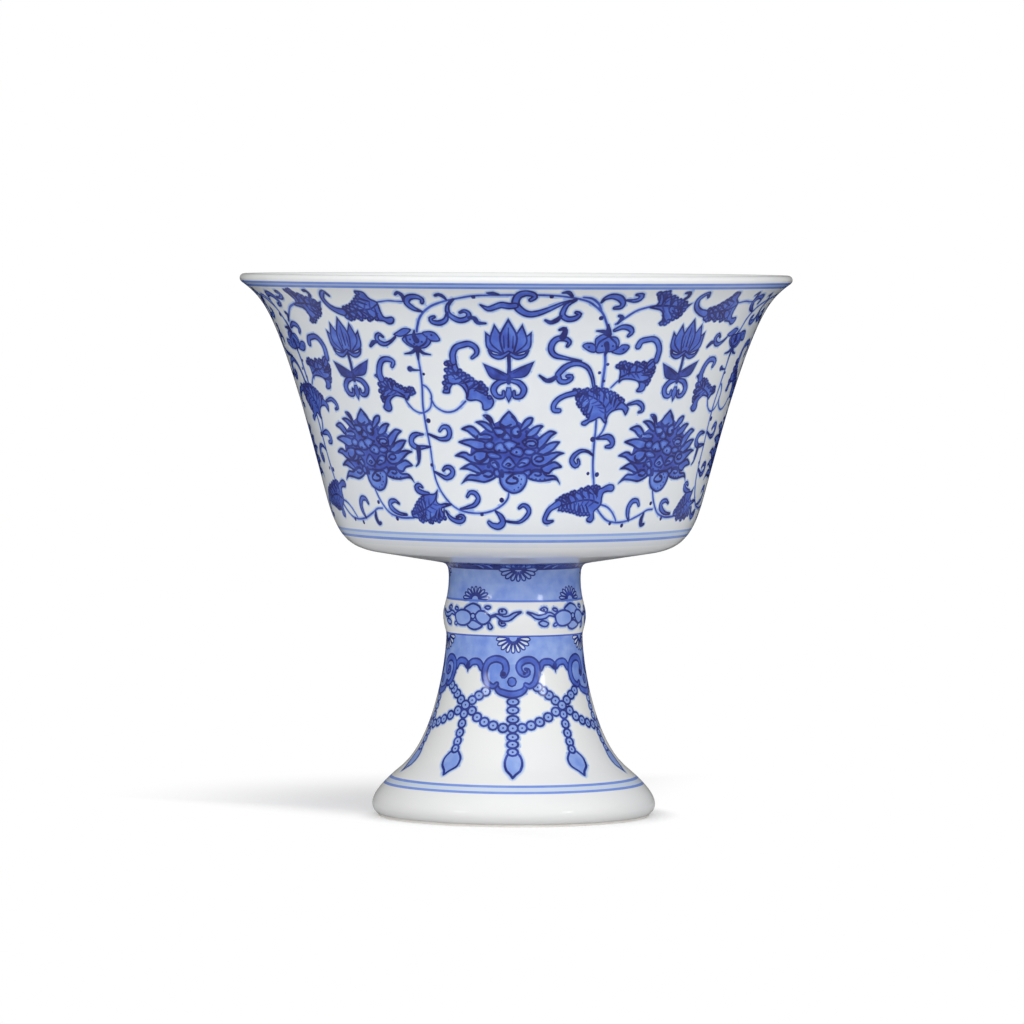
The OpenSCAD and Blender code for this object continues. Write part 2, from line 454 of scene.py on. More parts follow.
lotus = []
picture = lotus
lay(flow([(-2, 74), (-0, 74.9), (1.9, 73.9), (4.7, 72.1), (6.4, 70.2), (7.7, 68), (6.7, 65.3), (3.5, 63.8),
          (0.8, 63.3), (-2, 63.8), (-6.1, 64.3), (-7.2, 66.5), (-7.2, 69), (-6.1, 71.2),
          (-3.7, 73)], closed=True), LINE)
for outer_petal in (
        [(-0, 76), (0.6, 75.5), (1.3, 74.7), (1.7, 73.7), (1.3, 72.8), (-0, 72.7), (-1.4, 72.9),
         (-1.8, 73.7), (-1.4, 74.6), (-0.7, 75.4)],
        [(-4.7, 75.1), (-3.8, 75.3), (-3, 74.7), (-2.5, 73.3), (-2.4, 72.6), (-3, 72.9), (-3.7, 74)],
        [(4.4, 74.7), (3.7, 74.9), (2.8, 74.4), (2.1, 73.3), (1.7, 72.4), (2.4, 72.2), (3.4, 72.9),
         (4.2, 73.7)],
        [(-6.1, 73.9), (-4.9, 74.2), (-3.7, 73.8), (-2.7, 72.7), (-2.9, 71.9), (-3.9, 72.2), (-5.1, 73.2)],
        [(6.3, 73.2), (5.5, 73.5), (4.2, 73), (3, 71.8), (3.2, 71.1), (4.2, 71.1), (5.2, 71.7),
         (5.8, 72.6)],
        [(-8.8, 72.6), (-7.4, 73.3), (-6.2, 73), (-5.1, 71.7), (-5.4, 70.9), (-6.4, 71), (-7.6, 72)],
        [(8.8, 72), (7.6, 72.5), (6.5, 72), (5, 70.7), (4.9, 69.7), (5.6, 68.9), (6.8, 69.9), (7.8, 71.2)],
        [(-9.5, 70.2), (-8.1, 70.8), (-6.2, 70.9), (-4.2, 70.3), (-4, 69.2), (-5.8, 68.7), (-7.5, 69.4)],
        [(9.5, 70.4), (8.2, 70.5), (6.7, 69.9), (5.2, 68.6), (5.4, 67.6), (6.7, 67.9), (8.2, 68.7),
         (9, 69.6)],
        [(-10.4, 67.7), (-9.1, 68.5), (-8, 68.5), (-7.3, 68.1), (-6.1, 68.8), (-4.2, 68.7), (-3.3, 67.7),
         (-3.8, 66.3), (-5.6, 66.1), (-7.4, 66.5), (-8.8, 67.3)],
        [(10.5, 68.3), (9.2, 68.7), (7.8, 68.5), (6.8, 68.2), (5, 68.5), (4.1, 67.8), (4.2, 66.5),
         (5.3, 65.8), (6.9, 66), (8.1, 66.8), (9.4, 67.8)],
        [(-9.6, 65.3), (-8.3, 66.2), (-7, 66.5), (-5.3, 65.3), (-5.3, 64.4), (-6.4, 64.6), (-8.1, 65.2)],
        [(10.2, 65.8), (8.8, 66.9), (7.3, 66.5), (6, 65.8), (6.4, 64.8), (7.7, 64.5), (8.6, 65.3)],
        [(-9.5, 62.6), (-8.6, 63.8), (-7.6, 64.5), (-6.1, 64.5), (-4.7, 65.3), (-3.2, 65), (-2.3, 64),
         (-4.5, 62.9), (-6.5, 63.1), (-8.2, 63.2)],
        [(10, 62.6), (9.6, 63.7), (8.7, 64.4), (7.2, 64.5), (6.3, 65.4), (4.7, 65.5), (3.8, 64.7),
         (3.6, 63.7), (5, 63.2), (6.6, 63.1), (8.4, 63.4), (9.3, 63.3)]):
    blade(outer_petal, 0.42, 0.56)
for inner_petal in (
        [(-6.2, 71.3), (-5.5, 71.7), (-4.2, 71.9), (-3.2, 71.6), (-2.8, 71), (-3.5, 70.6), (-4.7, 70.6),
         (-5.6, 70.8)],
        [(-1.2, 71.5), (-0.5, 72.2), (0.4, 71.5), (0.5, 70.7), (-0.5, 70.5), (-1.4, 70.8)],
        [(-3, 72.8), (-2, 73.1), (-0.9, 72.9), (-0.4, 72.1), (-0.9, 71.3), (-2, 71.2), (-2.7, 71.8)],
        [(0.2, 72.7), (0.9, 73.3), (1.8, 73.3), (2.3, 72.5), (2.1, 71.4), (1.2, 71), (0.4, 71.5)],
        [(2.9, 69.1), (3.9, 69.3), (5, 68.8), (4.6, 68), (3.5, 67.8), (2.6, 68.3)],
        [(2.3, 70.5), (3.5, 71.2), (4.9, 71.1), (5.5, 70.4), (5.2, 69.2), (3.9, 69), (2.9, 69.6)],
        [(-4.5, 70.2), (-3.5, 70.6), (-2.6, 70), (-2.9, 69), (-3.9, 68.8), (-4.7, 69.4)],
        [(-4.4, 68.3), (-3.2, 68.7), (-1.7, 68.1), (-1.4, 67.3), (-2.6, 67.1), (-3.8, 67.3)],
        [(-3, 69.3), (-2.4, 70.1), (-1.4, 70.4), (-0.6, 69.7), (-0.2, 68.5), (-1.4, 68.2), (-2.6, 68.5)],
        [(-1.2, 70.2), (0.1, 70.8), (1.6, 70.2), (1.3, 69.3), (0.1, 68.5), (-0.8, 69.2)],
        [(0.4, 69.1), (1.5, 69.6), (2.6, 69.2), (2.9, 68.2), (2.2, 67.5), (1, 67.7), (0.1, 68.3)],
        [(-3.8, 66.8), (-2.9, 67.3), (-1.9, 66.5), (-1.8, 65.6), (-2.7, 65.3), (-3.6, 66)],
        [(-0, 67.8), (-1.1, 67), (-1.5, 66.1), (-0.8, 65.5), (0.4, 65.3), (1.4, 66), (1, 66.9)],
        [(1.3, 66.2), (2.1, 67.3), (3.2, 67.7), (4.1, 67.3), (3.9, 66.3), (2.7, 65.7), (1.8, 65.6)],
        [(-3, 65.3), (-2, 65.5), (-1.6, 64.5), (-2.1, 63.9), (-2.9, 64.2)],
        [(2.2, 64.7), (3, 65.3), (4.1, 65.5), (4.3, 64.5), (3.5, 63.9), (2.6, 63.9)],
        [(-2, 63.8), (-1.8, 62.7), (-1.1, 61.7), (-0, 61.1), (1, 60.9), (2.3, 61.3), (3.2, 62.3),
         (3.6, 63.4), (3.5, 64.4), (2.6, 65), (1.3, 65), (0.1, 65), (-1.2, 65), (-1.9, 64.5)]):
    lay(inside_line(blade(inner_petal, 0.38), 0.64), HEART)
for curled_tip, widths in (
        ([(-1.5, 73.6), (-0.6, 73), (0.4, 73.5)], (0.35, 0.55, 0.35)),
        ([(0.5, 74.9), (1, 74.4), (1.5, 73.7)], (0.3, 0.3)),
        ([(-6.5, 67.7), (-6.4, 67.1), (-5.5, 66.7), (-4.4, 67.3), (-4.2, 68)], (0.35, 0.6, 0.65, 0.5)),
        ([(-2.7, 72.8), (-1.4, 72.8), (-0.7, 72.2), (-1.2, 71.5), (-1.8, 71.4)], (0.35, 0.45, 0.6, 0.8)),
        ([(1.8, 73.3), (0.9, 73), (0.4, 72.4), (0.6, 71.6), (1.5, 71.3), (2.1, 71.8), (1.6, 72.2)],
         (0.4, 0.45, 0.5, 0.75, 0.5)),
        ([(2.9, 69.7), (3.4, 70.4), (4.5, 70.5), (5, 70), (4.5, 69.6), (3.8, 69.7)], (0.38, 0.4)),
        ([(-3.2, 66.5), (-2.6, 66.6), (-2.2, 66)], (0.32, 0.4)),
        ([(-0.6, 66.2), (-0.2, 66.5), (0.4, 66.2), (-0.2, 66)], (0.35, 0.4)),
        ([(1.7, 66.2), (2.4, 66.6), (3, 66.5)], (0.35, 0.35)),
        ([(4.8, 67.2), (5.3, 67.7), (6.2, 67.7), (6.5, 67.2), (5.9, 66.8), (5.1, 66.9)], (0.4, 0.42)),
        ([(4.1, 64.5), (4.7, 65), (5.8, 65), (6.2, 64.5), (5.6, 64.2), (5, 64.4)], (0.42, 0.42)),
        ([(-5.1, 64.6), (-4.4, 65), (-3.5, 65), (-3.2, 64.4), (-3.9, 64), (-4.8, 64.2)], (0.42, 0.5)),
        ([(2.5, 64.8), (1.3, 64.7), (0.3, 64.2), (-0.4, 63.6), (-0.5, 63.1), (0.4, 62.8), (1.5, 63),
         (1.6, 63.6), (0.9, 63.9)], (0.55, 0.5, 0.45, 0.45, 0.6)),
        ([(-1.4, 65.1), (-1.3, 64.2)], (0.7, 0.8)),
        ([(6.8, 69.7), (5.9, 69)], (0.4, 0.6, 0.4))):
    brush(curled_tip, widths, DARK, bleed=0)
for u, z, r in (
        (-4.3, 67.4, 0.36), (-3.9, 65.9, 0.4), (-3.2, 70.8, 0.32), (1.8, 70, 0.3), (3, 70.7, 0.34),
        (0.7, 65.5, 0.36), (0.1, 64.9, 0.3), (3.2, 72.2, 0.32), (-6.5, 71.4, 0.3), (-0.8, 69.4, 0.28),
        (0.5, 69.2, 0.24), (-1.8, 68.8, 0.26), (1.4, 68.5, 0.26), (1.9, 64.2, 0.18), (2.4, 63.6, 0.18),
        (2.3, 62.7, 0.18), (1.8, 62.1, 0.18), (1, 61.7, 0.16), (4.4, 63.7, 0.2), (5.2, 63.6, 0.22),
        (6, 63.5, 0.25), (6.9, 63.6, 0.22)):
    dot(u, z, r)


def upright_bud(c):
    """A lotus bud on a stalk with two leaves and a curled foot."""
    for hand in (-1, 1):
        foot = ((0, 81.4), (1.7, 81.0), (2.6, 79.8), (2.1, 78.6), (1.0, 78.5), (0.9, 79.4))
        curl([(c + hand * u, z) for u, z in foot], (0.6, 1.0, 1.1, 0.9, 0.6))
    petal((c, 80.2), (c, 77.3), 1.3)
    brush([(c, 87), (c + 0.1, 84), (c, 81)], (0.7, 0.6, 0.8), DARK)
    for hand, low in ((1, 0), (-1, 0.4)):
        petal((c, 82.2 - low), (c + hand * 4.3, 84.9 - low), 2.0, hand * -0.6, heart=DEEP)
        brush([(c + hand * 0.8, 82.7 - low), (c + hand * 3.4, 84.4 - low)], (0.25, 0.15), DARK)
    for hand in (1, -1):
        petal((c + hand * 0.5, 86.3), (c + hand * 3.7, 90.2), 2.2, hand * -0.7, 0.3)
        petal((c + hand * 0.3, 86.2), (c + hand * 2.2, 91.6), 2.4, hand * -0.7, 0.3)
    petal((c, 85.9), (c, 92.6), 3.0, 0, 0.34)
    brush([(c, 87.4), (c, 90.8)], (0.35, 0.2), DARK)
    for hand in (1, -1):
        brush([(c + hand * 0.7, 87.2), (c + hand * 0.75, 89.4)], (0.25, 0.15), DARK)
        curl([(c, 86.4), (c + hand * 1.3, 85.6), (c + hand * 2.6, 85.9), (c + hand * 3.2, 86.8)],
            (0.7, 0.9, 0.4))


# Left half of the scroll
picture = []
vine([(-14.8, 90), (-14.6, 90.8), (-14, 92.3), (-13, 93.6), (-11.5, 94.7), (-9.5, 95.5), (-7.5, 96),
    (-5, 96.5), (-2, 96.65), (1, 96.7), (4, 96.7), (7, 96.6), (9, 96.3), (10.5, 96), (12, 95.5),
    (13.3, 94.6), (14.4, 93.6), (15.2, 92.2), (15.9, 90.6)], (0.5, 0.42, 0.38, 0.42, 0.5))
vine([(-15.3, 85.5), (-15.2, 83), (-15.3, 80), (-15.6, 77), (-15.6, 75), (-15.4, 72), (-15.1, 69),
    (-15, 66), (-14.8, 64), (-14.4, 62.5), (-13.6, 60.9), (-12.4, 59.4), (-11, 58.3), (-9.5, 57.7),
    (-7.5, 57.4), (-5.5, 57.4), (-3.5, 57.8), (-2, 58.5), (-0.8, 59.4), (-0.2, 60.3), (-0.1, 61)],
    (0.45, 0.42, 0.45))
vine([(-20.5, 95.2), (-18.5, 95.5), (-17, 95.4), (-15.8, 95.4)], (0.35, 0.35))
vine([(-19, 78), (-18.5, 77), (-17.5, 75.9), (-16.3, 75.4), (-15.2, 75.6), (-14.2, 76.4), (-13.8, 77.8),
    (-13.8, 78.9), (-14.4, 80), (-15.2, 80.5)], (0.4, 0.38))
vine([(-13.9, 78), (-13.3, 76.7), (-12.2, 75.9), (-11, 75.6), (-9.6, 75.9), (-8.4, 76.8), (-7.6, 77.6)],
    (0.38, 0.42))
vine([(-29.8, 61.2), (-29.2, 59.8), (-28.3, 58.4), (-27, 57.1), (-25.4, 56.5), (-23.5, 56.2),
    (-20.8, 56.3)], (0.45, 0.5))
for u, z, r in ((-5, 96.3, 0.36), (-17.1, 83.3, 0.55), (-14.7, 82.4, 0.3), (-14.9, 74, 0.48),
        (-15.2, 66, 0.36), (-5.6, 57.2, 0.4), (-1.5, 59.8, 0.5), (-29.6, 58.9, 0.4), (-25.2, 56, 0.42)):
    dot(u, z, r)
brush([(-2.9, 97), (-2.1, 96.95), (-1.3, 96.75)], (0.35, 0.7, 0.4), DARK)
brush([(-15.3, 83.1), (-16.3, 83.1), (-17.1, 83.3)], (0.25, 0.4, 0.8), DARK)
brush([(-10.6, 96.5), (-10, 96.7), (-9.4, 96.3), (-9.1, 95.8)], (0.5, 0.7, 0.4), DARK)
curl([(-13.3, 93.6), (-14.6, 94.2), (-15.4, 95.2), (-14.8, 96.1), (-13.6, 96.3), (-12.8, 95.8),
    (-12.95, 95.2)], (0.4, 0.9, 1.0, 0.9, 0.6))
brush([(-16.8, 96.6), (-16.2, 97), (-15.7, 96.4), (-15.8, 95.4)], (0.4, 0.8, 0.4), DARK)
curl([(-8, 95.9), (-9, 94.8), (-9.2, 93.5), (-8.5, 92.6), (-7.4, 92.1), (-6.2, 92.5), (-6, 93.3),
    (-6.6, 93.8), (-7.3, 93.5)], (0.4, 0.7, 0.95, 0.9, 0.5))
brush([(-6, 92.6), (-5.2, 92.5), (-4.7, 91.7), (-3.5, 91.6)], (0.6, 0.85, 0.7, 0.4), DARK)
curl([(-9.3, 93.5), (-9.7, 92.2), (-10.8, 91.6), (-11.9, 91.8), (-12.1, 92.4), (-11.5, 92.7)],
    (0.4, 0.8, 0.95, 0.8, 0.6))
# Left bud
blade([(-17.7, 88.7), (-17, 87.6), (-15.8, 87), (-14.8, 86.9), (-13.6, 87.1), (-12.7, 87.9), (-12.5, 88.8),
    (-13.5, 89.8), (-15, 89.7), (-16.5, 89.5)])
blade([(-19.1, 89.4), (-18, 90.2), (-16.9, 90.7), (-15.7, 90.4), (-16.5, 89.5), (-17.8, 89)])
blade([(-14, 89.8), (-12.8, 90.2), (-11.7, 89.9), (-11, 88.8), (-11.2, 88.3), (-12, 88.2), (-12.8, 88.4)])
brush([(-16.9, 89.1), (-16.8, 88.2), (-16.1, 87.6), (-15.4, 87.2)], (0.3, 0.4, 0.3), DARK)
brush([(-13.2, 89.2), (-13.4, 88.3), (-14.1, 87.6), (-15, 87.2)], (0.3, 0.4, 0.3), DARK)
brush([(-15.2, 90.2), (-15.4, 89.2), (-15.1, 88.4)], (0.35, 0.8, 1.1), DARK)
for u, z in ((-16.2, 88.6), (-14.2, 88.2), (-15.6, 87.8), (-12.4, 89.4)):
    dot(u, z, 0.22)
brush([(-15.2, 87.2), (-16.2, 86.3), (-17.6, 86)], (0.8, 0.6, 0.25), DARK)
brush([(-15.2, 87.2), (-14.3, 86.2), (-13, 85.9)], (0.8, 0.6, 0.25), DARK)
brush([(-15.2, 87), (-15.3, 85)], (0.9, 0.4), DARK)
curl([(-18.8, 89), (-19.8, 88.2), (-21, 87.7), (-22, 88), (-22.4, 88.8), (-21.8, 89.5), (-21.1, 89)],
    (0.4, 0.6, 0.9, 0.8, 0.5))
brush([(-22.4, 88.1), (-23.2, 88), (-24, 87.3)], (0.5, 0.9, 0.6), DARK)
# Left leaves
leaf([(-27.5, 94.2), (-25.8, 94.7), (-25, 95.2), (-24.4, 95.6), (-24, 96), (-23.6, 96.3), (-23.2, 97.2),
      (-22.5, 97.3), (-21.8, 97), (-21.5, 96.1), (-21.2, 95.8), (-20.3, 95.2), (-20.2, 93.4), (-19.8, 92.6),
      (-18.6, 92.7), (-18.2, 92.2), (-18.6, 91.4), (-19.5, 91.2), (-20.3, 91.7), (-21.2, 91.8), (-22, 92.2),
      (-22.8, 91.8), (-23.6, 92.3), (-24.5, 91.9), (-25.3, 92.3), (-26.3, 91.9), (-27.5, 92.1),
      (-27.9, 93.2)],
     [(-27.2, 93.2), (-24.5, 93.7), (-22, 94), (-20.6, 94.8)], ((0, 7), (19, 26)))
curl([(-28.9, 96.3), (-29.5, 97), (-30.5, 96.2), (-30.6, 95.3), (-30, 94.3), (-28.8, 93.6), (-27.6, 93.3)],
    (0.5, 0.8, 0.9, 1.0, 1.3))
leaf([(-22.5, 81.6), (-21, 81.3), (-20.2, 80.6), (-19.5, 80.3), (-18.8, 79.9), (-18.2, 79.9), (-17.3, 80),
      (-16.8, 79.2), (-17.2, 78.5), (-18, 78.3), (-18.4, 77.5), (-19, 77.9), (-20, 78.2), (-21, 78.2),
      (-22, 77.4), (-21.9, 76.2), (-22.4, 75.5), (-23.3, 75.5), (-24, 76.2), (-23.6, 77), (-24, 78),
      (-23.7, 78.8), (-24.2, 79.1), (-23.8, 79.9), (-24.2, 80.4), (-23.6, 81), (-24.6, 82), (-23.6, 82.4)],
     [(-19, 78.4), (-20.4, 79.2), (-22, 79.8), (-23.2, 81.2)], ((0, 8), (19, 26)))
curl([(-20.5, 83.7), (-20.1, 84.5), (-21, 85), (-22.2, 84.8), (-23, 83.8), (-23.4, 82.3), (-23.2, 81.4)],
    (0.7, 0.95, 1.0, 1.1, 1.3))
leaf([(-9.6, 85), (-10.6, 84.8), (-10, 84), (-10.8, 83.2), (-10.4, 82.4), (-11, 82), (-10.9, 81.3),
      (-11.4, 80.9), (-11.1, 80.3), (-11.7, 79.2), (-11.2, 78.9), (-10.3, 79), (-10.1, 79.8), (-9.6, 80.5),
      (-8.8, 80.6), (-8, 80), (-7.5, 79), (-7.5, 78), (-6.8, 77.6), (-5.6, 77.7), (-4.8, 77.2),
      (-4.7, 76.2), (-4, 75.9), (-3, 76.4), (-2.5, 77.4), (-2.8, 78.4), (-3.7, 78.9), (-3.6, 79.8),
      (-4.2, 80.6), (-4.6, 81.1), (-5.5, 81.2), (-6.5, 82.1), (-7.6, 82.8), (-8.4, 83.6), (-8.7, 84.6)],
     [(-7.2, 78.4), (-7, 80), (-8.2, 81.8), (-9.4, 83.2), (-9.3, 84.6)], ((1, 9), (25, 33)))
curl([(-6, 85.4), (-5.2, 86.2), (-5.3, 87.2), (-6.3, 87.9), (-7.5, 87.7), (-8.6, 87.2), (-9.2, 86),
    (-9.2, 84.6)], (0.6, 0.95, 1.05, 1.0, 1.1))
curl([(-15.2, 71.6), (-14, 71.1), (-12.8, 70.7), (-11.5, 70.9), (-11, 71.8), (-11.3, 72.8), (-12.2, 72.9),
    (-12.9, 72.2)], (0.4, 0.6, 0.95, 0.95, 0.6))
curl([(-14.8, 64.8), (-13.6, 64.2), (-12.5, 63.7), (-11.4, 64.1), (-11, 64.9), (-11.5, 65.6), (-12.4, 65.6),
    (-12.9, 65.1)], (0.4, 0.7, 1.0, 0.9, 0.6))
curl([(-15.1, 69.3), (-16.4, 69.2), (-17.8, 69.1), (-18.9, 69.8), (-18.7, 70.9), (-17.7, 71.5),
    (-16.3, 71.5)], (0.4, 0.8, 1.1, 1.0, 0.4))
brush([(-17.6, 69), (-17.7, 67.5), (-18, 66.3), (-18.6, 65.7)], (1.1, 0.8, 0.3), DARK)
leaf([(-17.4, 61), (-17.9, 60.4), (-19, 59.6), (-19.8, 58.8), (-20.4, 58), (-21.3, 57.1), (-21, 56.3),
      (-19.8, 56.1), (-18.9, 55.5), (-17.8, 55.8), (-16.8, 55.3), (-15.9, 55.8), (-15, 55.6), (-14.3, 56.1),
      (-13.4, 56.2), (-13.5, 57.1), (-14, 58), (-13, 58.35), (-11.6, 58.9), (-13, 59.2), (-14.3, 59),
      (-14.9, 59.5), (-14.7, 60.5), (-14.5, 61.6), (-15.3, 60.9), (-16.3, 60.8)],
     [(-20.8, 56.9), (-18.6, 57.6), (-16.7, 58.5), (-15.4, 59.6), (-14.8, 60.9)], ((1, 5), (7, 15)))
curl([(-17.8, 61.9), (-18.5, 62.3), (-19.2, 61.9), (-18.9, 61.3), (-17.9, 60.9), (-16.6, 60.8)],
    (0.5, 0.9, 1.0, 0.9, 0.6))
brush([(-12.9, 58.8), (-12, 58.9)], (0.6, 0.5), DARK, bleed=0)
curl([(-24, 58.8), (-25, 59.3), (-26.2, 59), (-26.3, 58.2), (-25.4, 57.4), (-24, 56.9), (-22.5, 56.8)],
    (0.5, 0.9, 1.0, 0.7, 0.5))
curl([(-13.2, 57.7), (-12.4, 56.5), (-11.2, 55.9), (-10, 55.9), (-9.4, 56.5), (-10, 56.9), (-11, 56.6)],
    (0.4, 0.8, 0.95, 0.8, 0.5))
curl([(-10, 58.1), (-8.5, 58.4), (-7, 58.9), (-6.2, 60), (-6.8, 61), (-7.8, 61.1), (-8.4, 60.4)],
    (0.4, 0.7, 0.95, 0.9, 0.6))
curl([(-2.8, 57.8), (-1.8, 56.9), (-1.3, 55.8), (-2.2, 55), (-3.5, 55.2), (-4.2, 55.7)],
    (0.4, 1.0, 1.25, 1.1, 0.8))
curl([(-0.8, 56), (0.5, 55.8), (2, 55.8), (3.2, 56.5), (4, 57.6), (3.7, 58.5), (2.8, 58.9), (2, 58.4)],
    (0.4, 0.5, 0.8, 0.95, 0.6))

# Right half of the scroll
vine([(16, 86.3), (16.3, 84.5), (16.3, 82), (16.3, 79.8)], (0.6, 0.55))
vine([(16, 74.2), (16.1, 72), (16.1, 70), (16.2, 67.5), (16.4, 65.5), (16.8, 63.6), (17.1, 62)], (0.5, 0.5))
vine([(11, 96.3), (12.3, 96.1), (13.5, 95.2), (14.2, 94)], (0.4, 0.5, 0.4))
vine([(17, 91.5), (18, 92.3), (20, 93.9), (22, 94.6), (23, 94.8)], (0.5, 0.45))
vine([(18, 74), (17.6, 72.5), (16.9, 71.4), (16.2, 71)], (0.5, 0.4))
vine([(18, 80.1), (18.8, 81), (19.6, 81.7)], (0.4, 0.4))
vine([(18.2, 58.3), (19.5, 57), (21, 56), (22.8, 55.6), (24.5, 55.6), (26.5, 55.9), (28, 56.4), (29.5, 57),
    (31, 57.7), (32.5, 57.8)], (0.45, 0.42))
vine([(19.1, 58.9), (20.5, 58.5), (21.8, 57.6), (22.8, 56.5), (23.2, 55.9)], (0.45, 0.4))
for u, z, r in ((6.3, 96.4, 0.36), (14.4, 92.6, 0.42), (16.8, 84.3, 0.32), (15.5, 82.8, 0.34),
        (16.5, 81.3, 0.3), (15.7, 70.8, 0.52), (15.5, 64.6, 0.36), (17.4, 64.4, 0.48), (21.9, 55.4, 0.38),
        (25, 55, 0.42)):
    dot(u, z, r)
curl([(10, 95.9), (8, 95.2), (6, 94.1), (4.3, 93.4), (3, 93.3), (1.8, 94), (1.1, 95.2), (1.5, 96.5),
    (2.5, 97), (3.6, 96.8), (3.9, 96.3), (3.3, 95.8)], (0.4, 0.7, 1.0, 1.15, 1.1, 0.7))
curl([(1.1, 94.8), (0.2, 94.7), (-1, 94.9), (-2, 94.5), (-3, 94.2), (-4.1, 94.9)],
    (1.0, 1.1, 1.0, 0.9, 0.3))
brush([(7.8, 97.1), (8.6, 97.2), (9.3, 96.5)], (0.4, 0.75, 0.5), DARK)
curl([(10, 95.8), (8.8, 95), (8.3, 93.9), (8.3, 93), (9.2, 92.4), (10.3, 92.6), (10.9, 93.3), (10.3, 93.6)],
    (0.4, 0.8, 0.95, 0.95, 0.6))
brush([(8, 92.9), (7.4, 92.2), (6.5, 91.8), (5.7, 92.2)], (0.6, 0.9, 0.8, 0.5), DARK)
curl([(13.9, 95.4), (14.3, 96.1), (15.3, 96.5), (16.5, 96.2), (17.3, 95.4), (17.2, 94.6), (16.2, 94.4)],
    (0.4, 0.9, 1.05, 0.9, 0.6))
curl([(17.8, 95.8), (19, 95.7), (19.8, 96), (19.9, 96.7), (19, 96.8)], (0.4, 0.7, 0.9, 0.5))
brush([(17.3, 91.6), (17.9, 92.7), (17.3, 93)], (0.4, 0.8, 0.6), DARK)
# Right bud
blade([(13.9, 88.5), (14.2, 89.2), (15.2, 89.8), (16.3, 89.4), (17.5, 89.3), (18.2, 88.6), (18.3, 87.6),
    (17.6, 86.6), (16, 86.4), (14.4, 86.4)])
blade([(11.9, 87.6), (12.5, 88.2), (13.6, 88.2), (14.3, 87.6), (14.4, 86.5), (13.6, 86.4), (12.6, 86.9)])
blade([(18.2, 87.4), (18.8, 87.9), (19.8, 87.9), (20.3, 87.4), (19.7, 86.4), (18.6, 86), (17, 86.5)])
brush([(14.4, 87.2), (14.7, 88.2), (15.4, 88.8), (16.1, 89.2)], (0.3, 0.4, 0.3), DARK)
brush([(17.9, 87), (17.7, 88), (17, 88.7), (16.4, 89.2)], (0.3, 0.4, 0.3), DARK)
brush([(16.1, 86), (16.3, 87), (16, 88)], (0.35, 0.8, 1.0), DARK)
for u, z in ((15.3, 87.6), (17.2, 87.6), (13.1, 87.4), (19.2, 87)):
    dot(u, z, 0.22)
brush([(14, 90.3), (15.2, 90.2), (16.2, 89.8)], (0.3, 0.7, 0.9), DARK)
brush([(15.8, 91.4), (16, 90.4), (16.2, 89.6)], (0.4, 0.9, 1.0), DARK)
curl([(17, 90.4), (18.3, 91), (19.5, 90.8), (20.1, 90.1), (19.6, 89.4)], (0.6, 0.9, 1.0, 0.6))
# Right leaves
leaf([(22.2, 97.2), (23.2, 97.3), (24.2, 97.4), (24.8, 96.7), (25.8, 96.5), (26.6, 96), (27.5, 95.9),
      (28.4, 95.5), (29, 95.1), (29.8, 95.3), (29.5, 94.8), (29.1, 94.2), (28.7, 93.6), (28.4, 92.9),
      (27.6, 92.4), (26.7, 92), (26.3, 91.5), (25.4, 91.3), (24.5, 91.6), (25.1, 92.4), (24.8, 93.2),
      (24.1, 93.9), (22, 94.4), (23.1, 95.1), (23, 96.3)],
     [(23.2, 94.8), (25.4, 94.8), (27.6, 94.6), (29, 94.8)], ((0, 8), (11, 18)))
brush([(27.3, 97.1), (28, 97.1), (28.2, 96.4), (27.8, 96)], (0.5, 0.75, 0.6), DARK)
leaf([(18.2, 83.8), (19, 84.6), (19.8, 84.8), (20.5, 84.5), (21, 84.6), (21.5, 84.2), (22.2, 84.8),
      (22.9, 84.4), (23.6, 84.8), (24.1, 84.5), (24.8, 85.2), (26, 85.3), (26, 84), (26.1, 83.2),
      (25.9, 82.4), (25.6, 81.8), (25.5, 81), (25, 80.3), (24.8, 79.6), (24.2, 79.2), (23.3, 79.2),
      (23, 79.6), (23.4, 80.2), (23.2, 80.9), (22.4, 81.3), (21, 81.5), (20, 81.4), (19.3, 80.9),
      (19.2, 82.8), (18.9, 83.4)],
     [(19.6, 82), (21.4, 82.8), (23.4, 83), (25.4, 84.8)], ((0, 10), (12, 18)))
curl([(21.8, 87.5), (22.2, 88.4), (23.2, 88.7), (24.4, 88.8), (25.4, 88.2), (26.1, 86.8), (26, 84.9)],
    (1.1, 1.0, 1.0, 1.05, 1.1))
leaf([(11, 79.8), (12, 79.9), (12.8, 79.7), (13.6, 80), (14.3, 79.8), (15, 80.4), (16, 79.9), (17, 80),
      (17.8, 79.5), (18.6, 79.3), (19.4, 78.8), (20, 78.4), (20.8, 78), (21, 77.4), (21.6, 77),
      (22.2, 76.4), (22.1, 75.6), (21.7, 75), (21.3, 75.4), (20.8, 76), (19.8, 76), (18.8, 75.6),
      (18.2, 74.8), (18, 73.6), (17.4, 73.8), (16.6, 74.6), (15.8, 74.2), (14.8, 73.8), (14, 73.2),
      (13.2, 73.4), (13.2, 74), (14.4, 74.6), (14, 75), (13.3, 75.6), (12.8, 76.4), (12.1, 77), (12, 77.8),
      (11.2, 78.9)],
     [(17.7, 74.6), (17.4, 76.4), (16, 77.8), (13.8, 78.8), (11.6, 79.2)], ((0, 14), (31, 37)))
curl([(8.9, 76), (8, 76.1), (7.9, 77), (8.6, 78), (9.8, 78.7), (11.6, 79.2)], (0.9, 0.95, 0.9, 1.0))
curl([(21.8, 77), (22.6, 77.2), (23.8, 77.4), (24.9, 76.8), (25.2, 75.9), (24.4, 75.6)],
    (0.5, 0.7, 0.9, 0.8, 0.5))
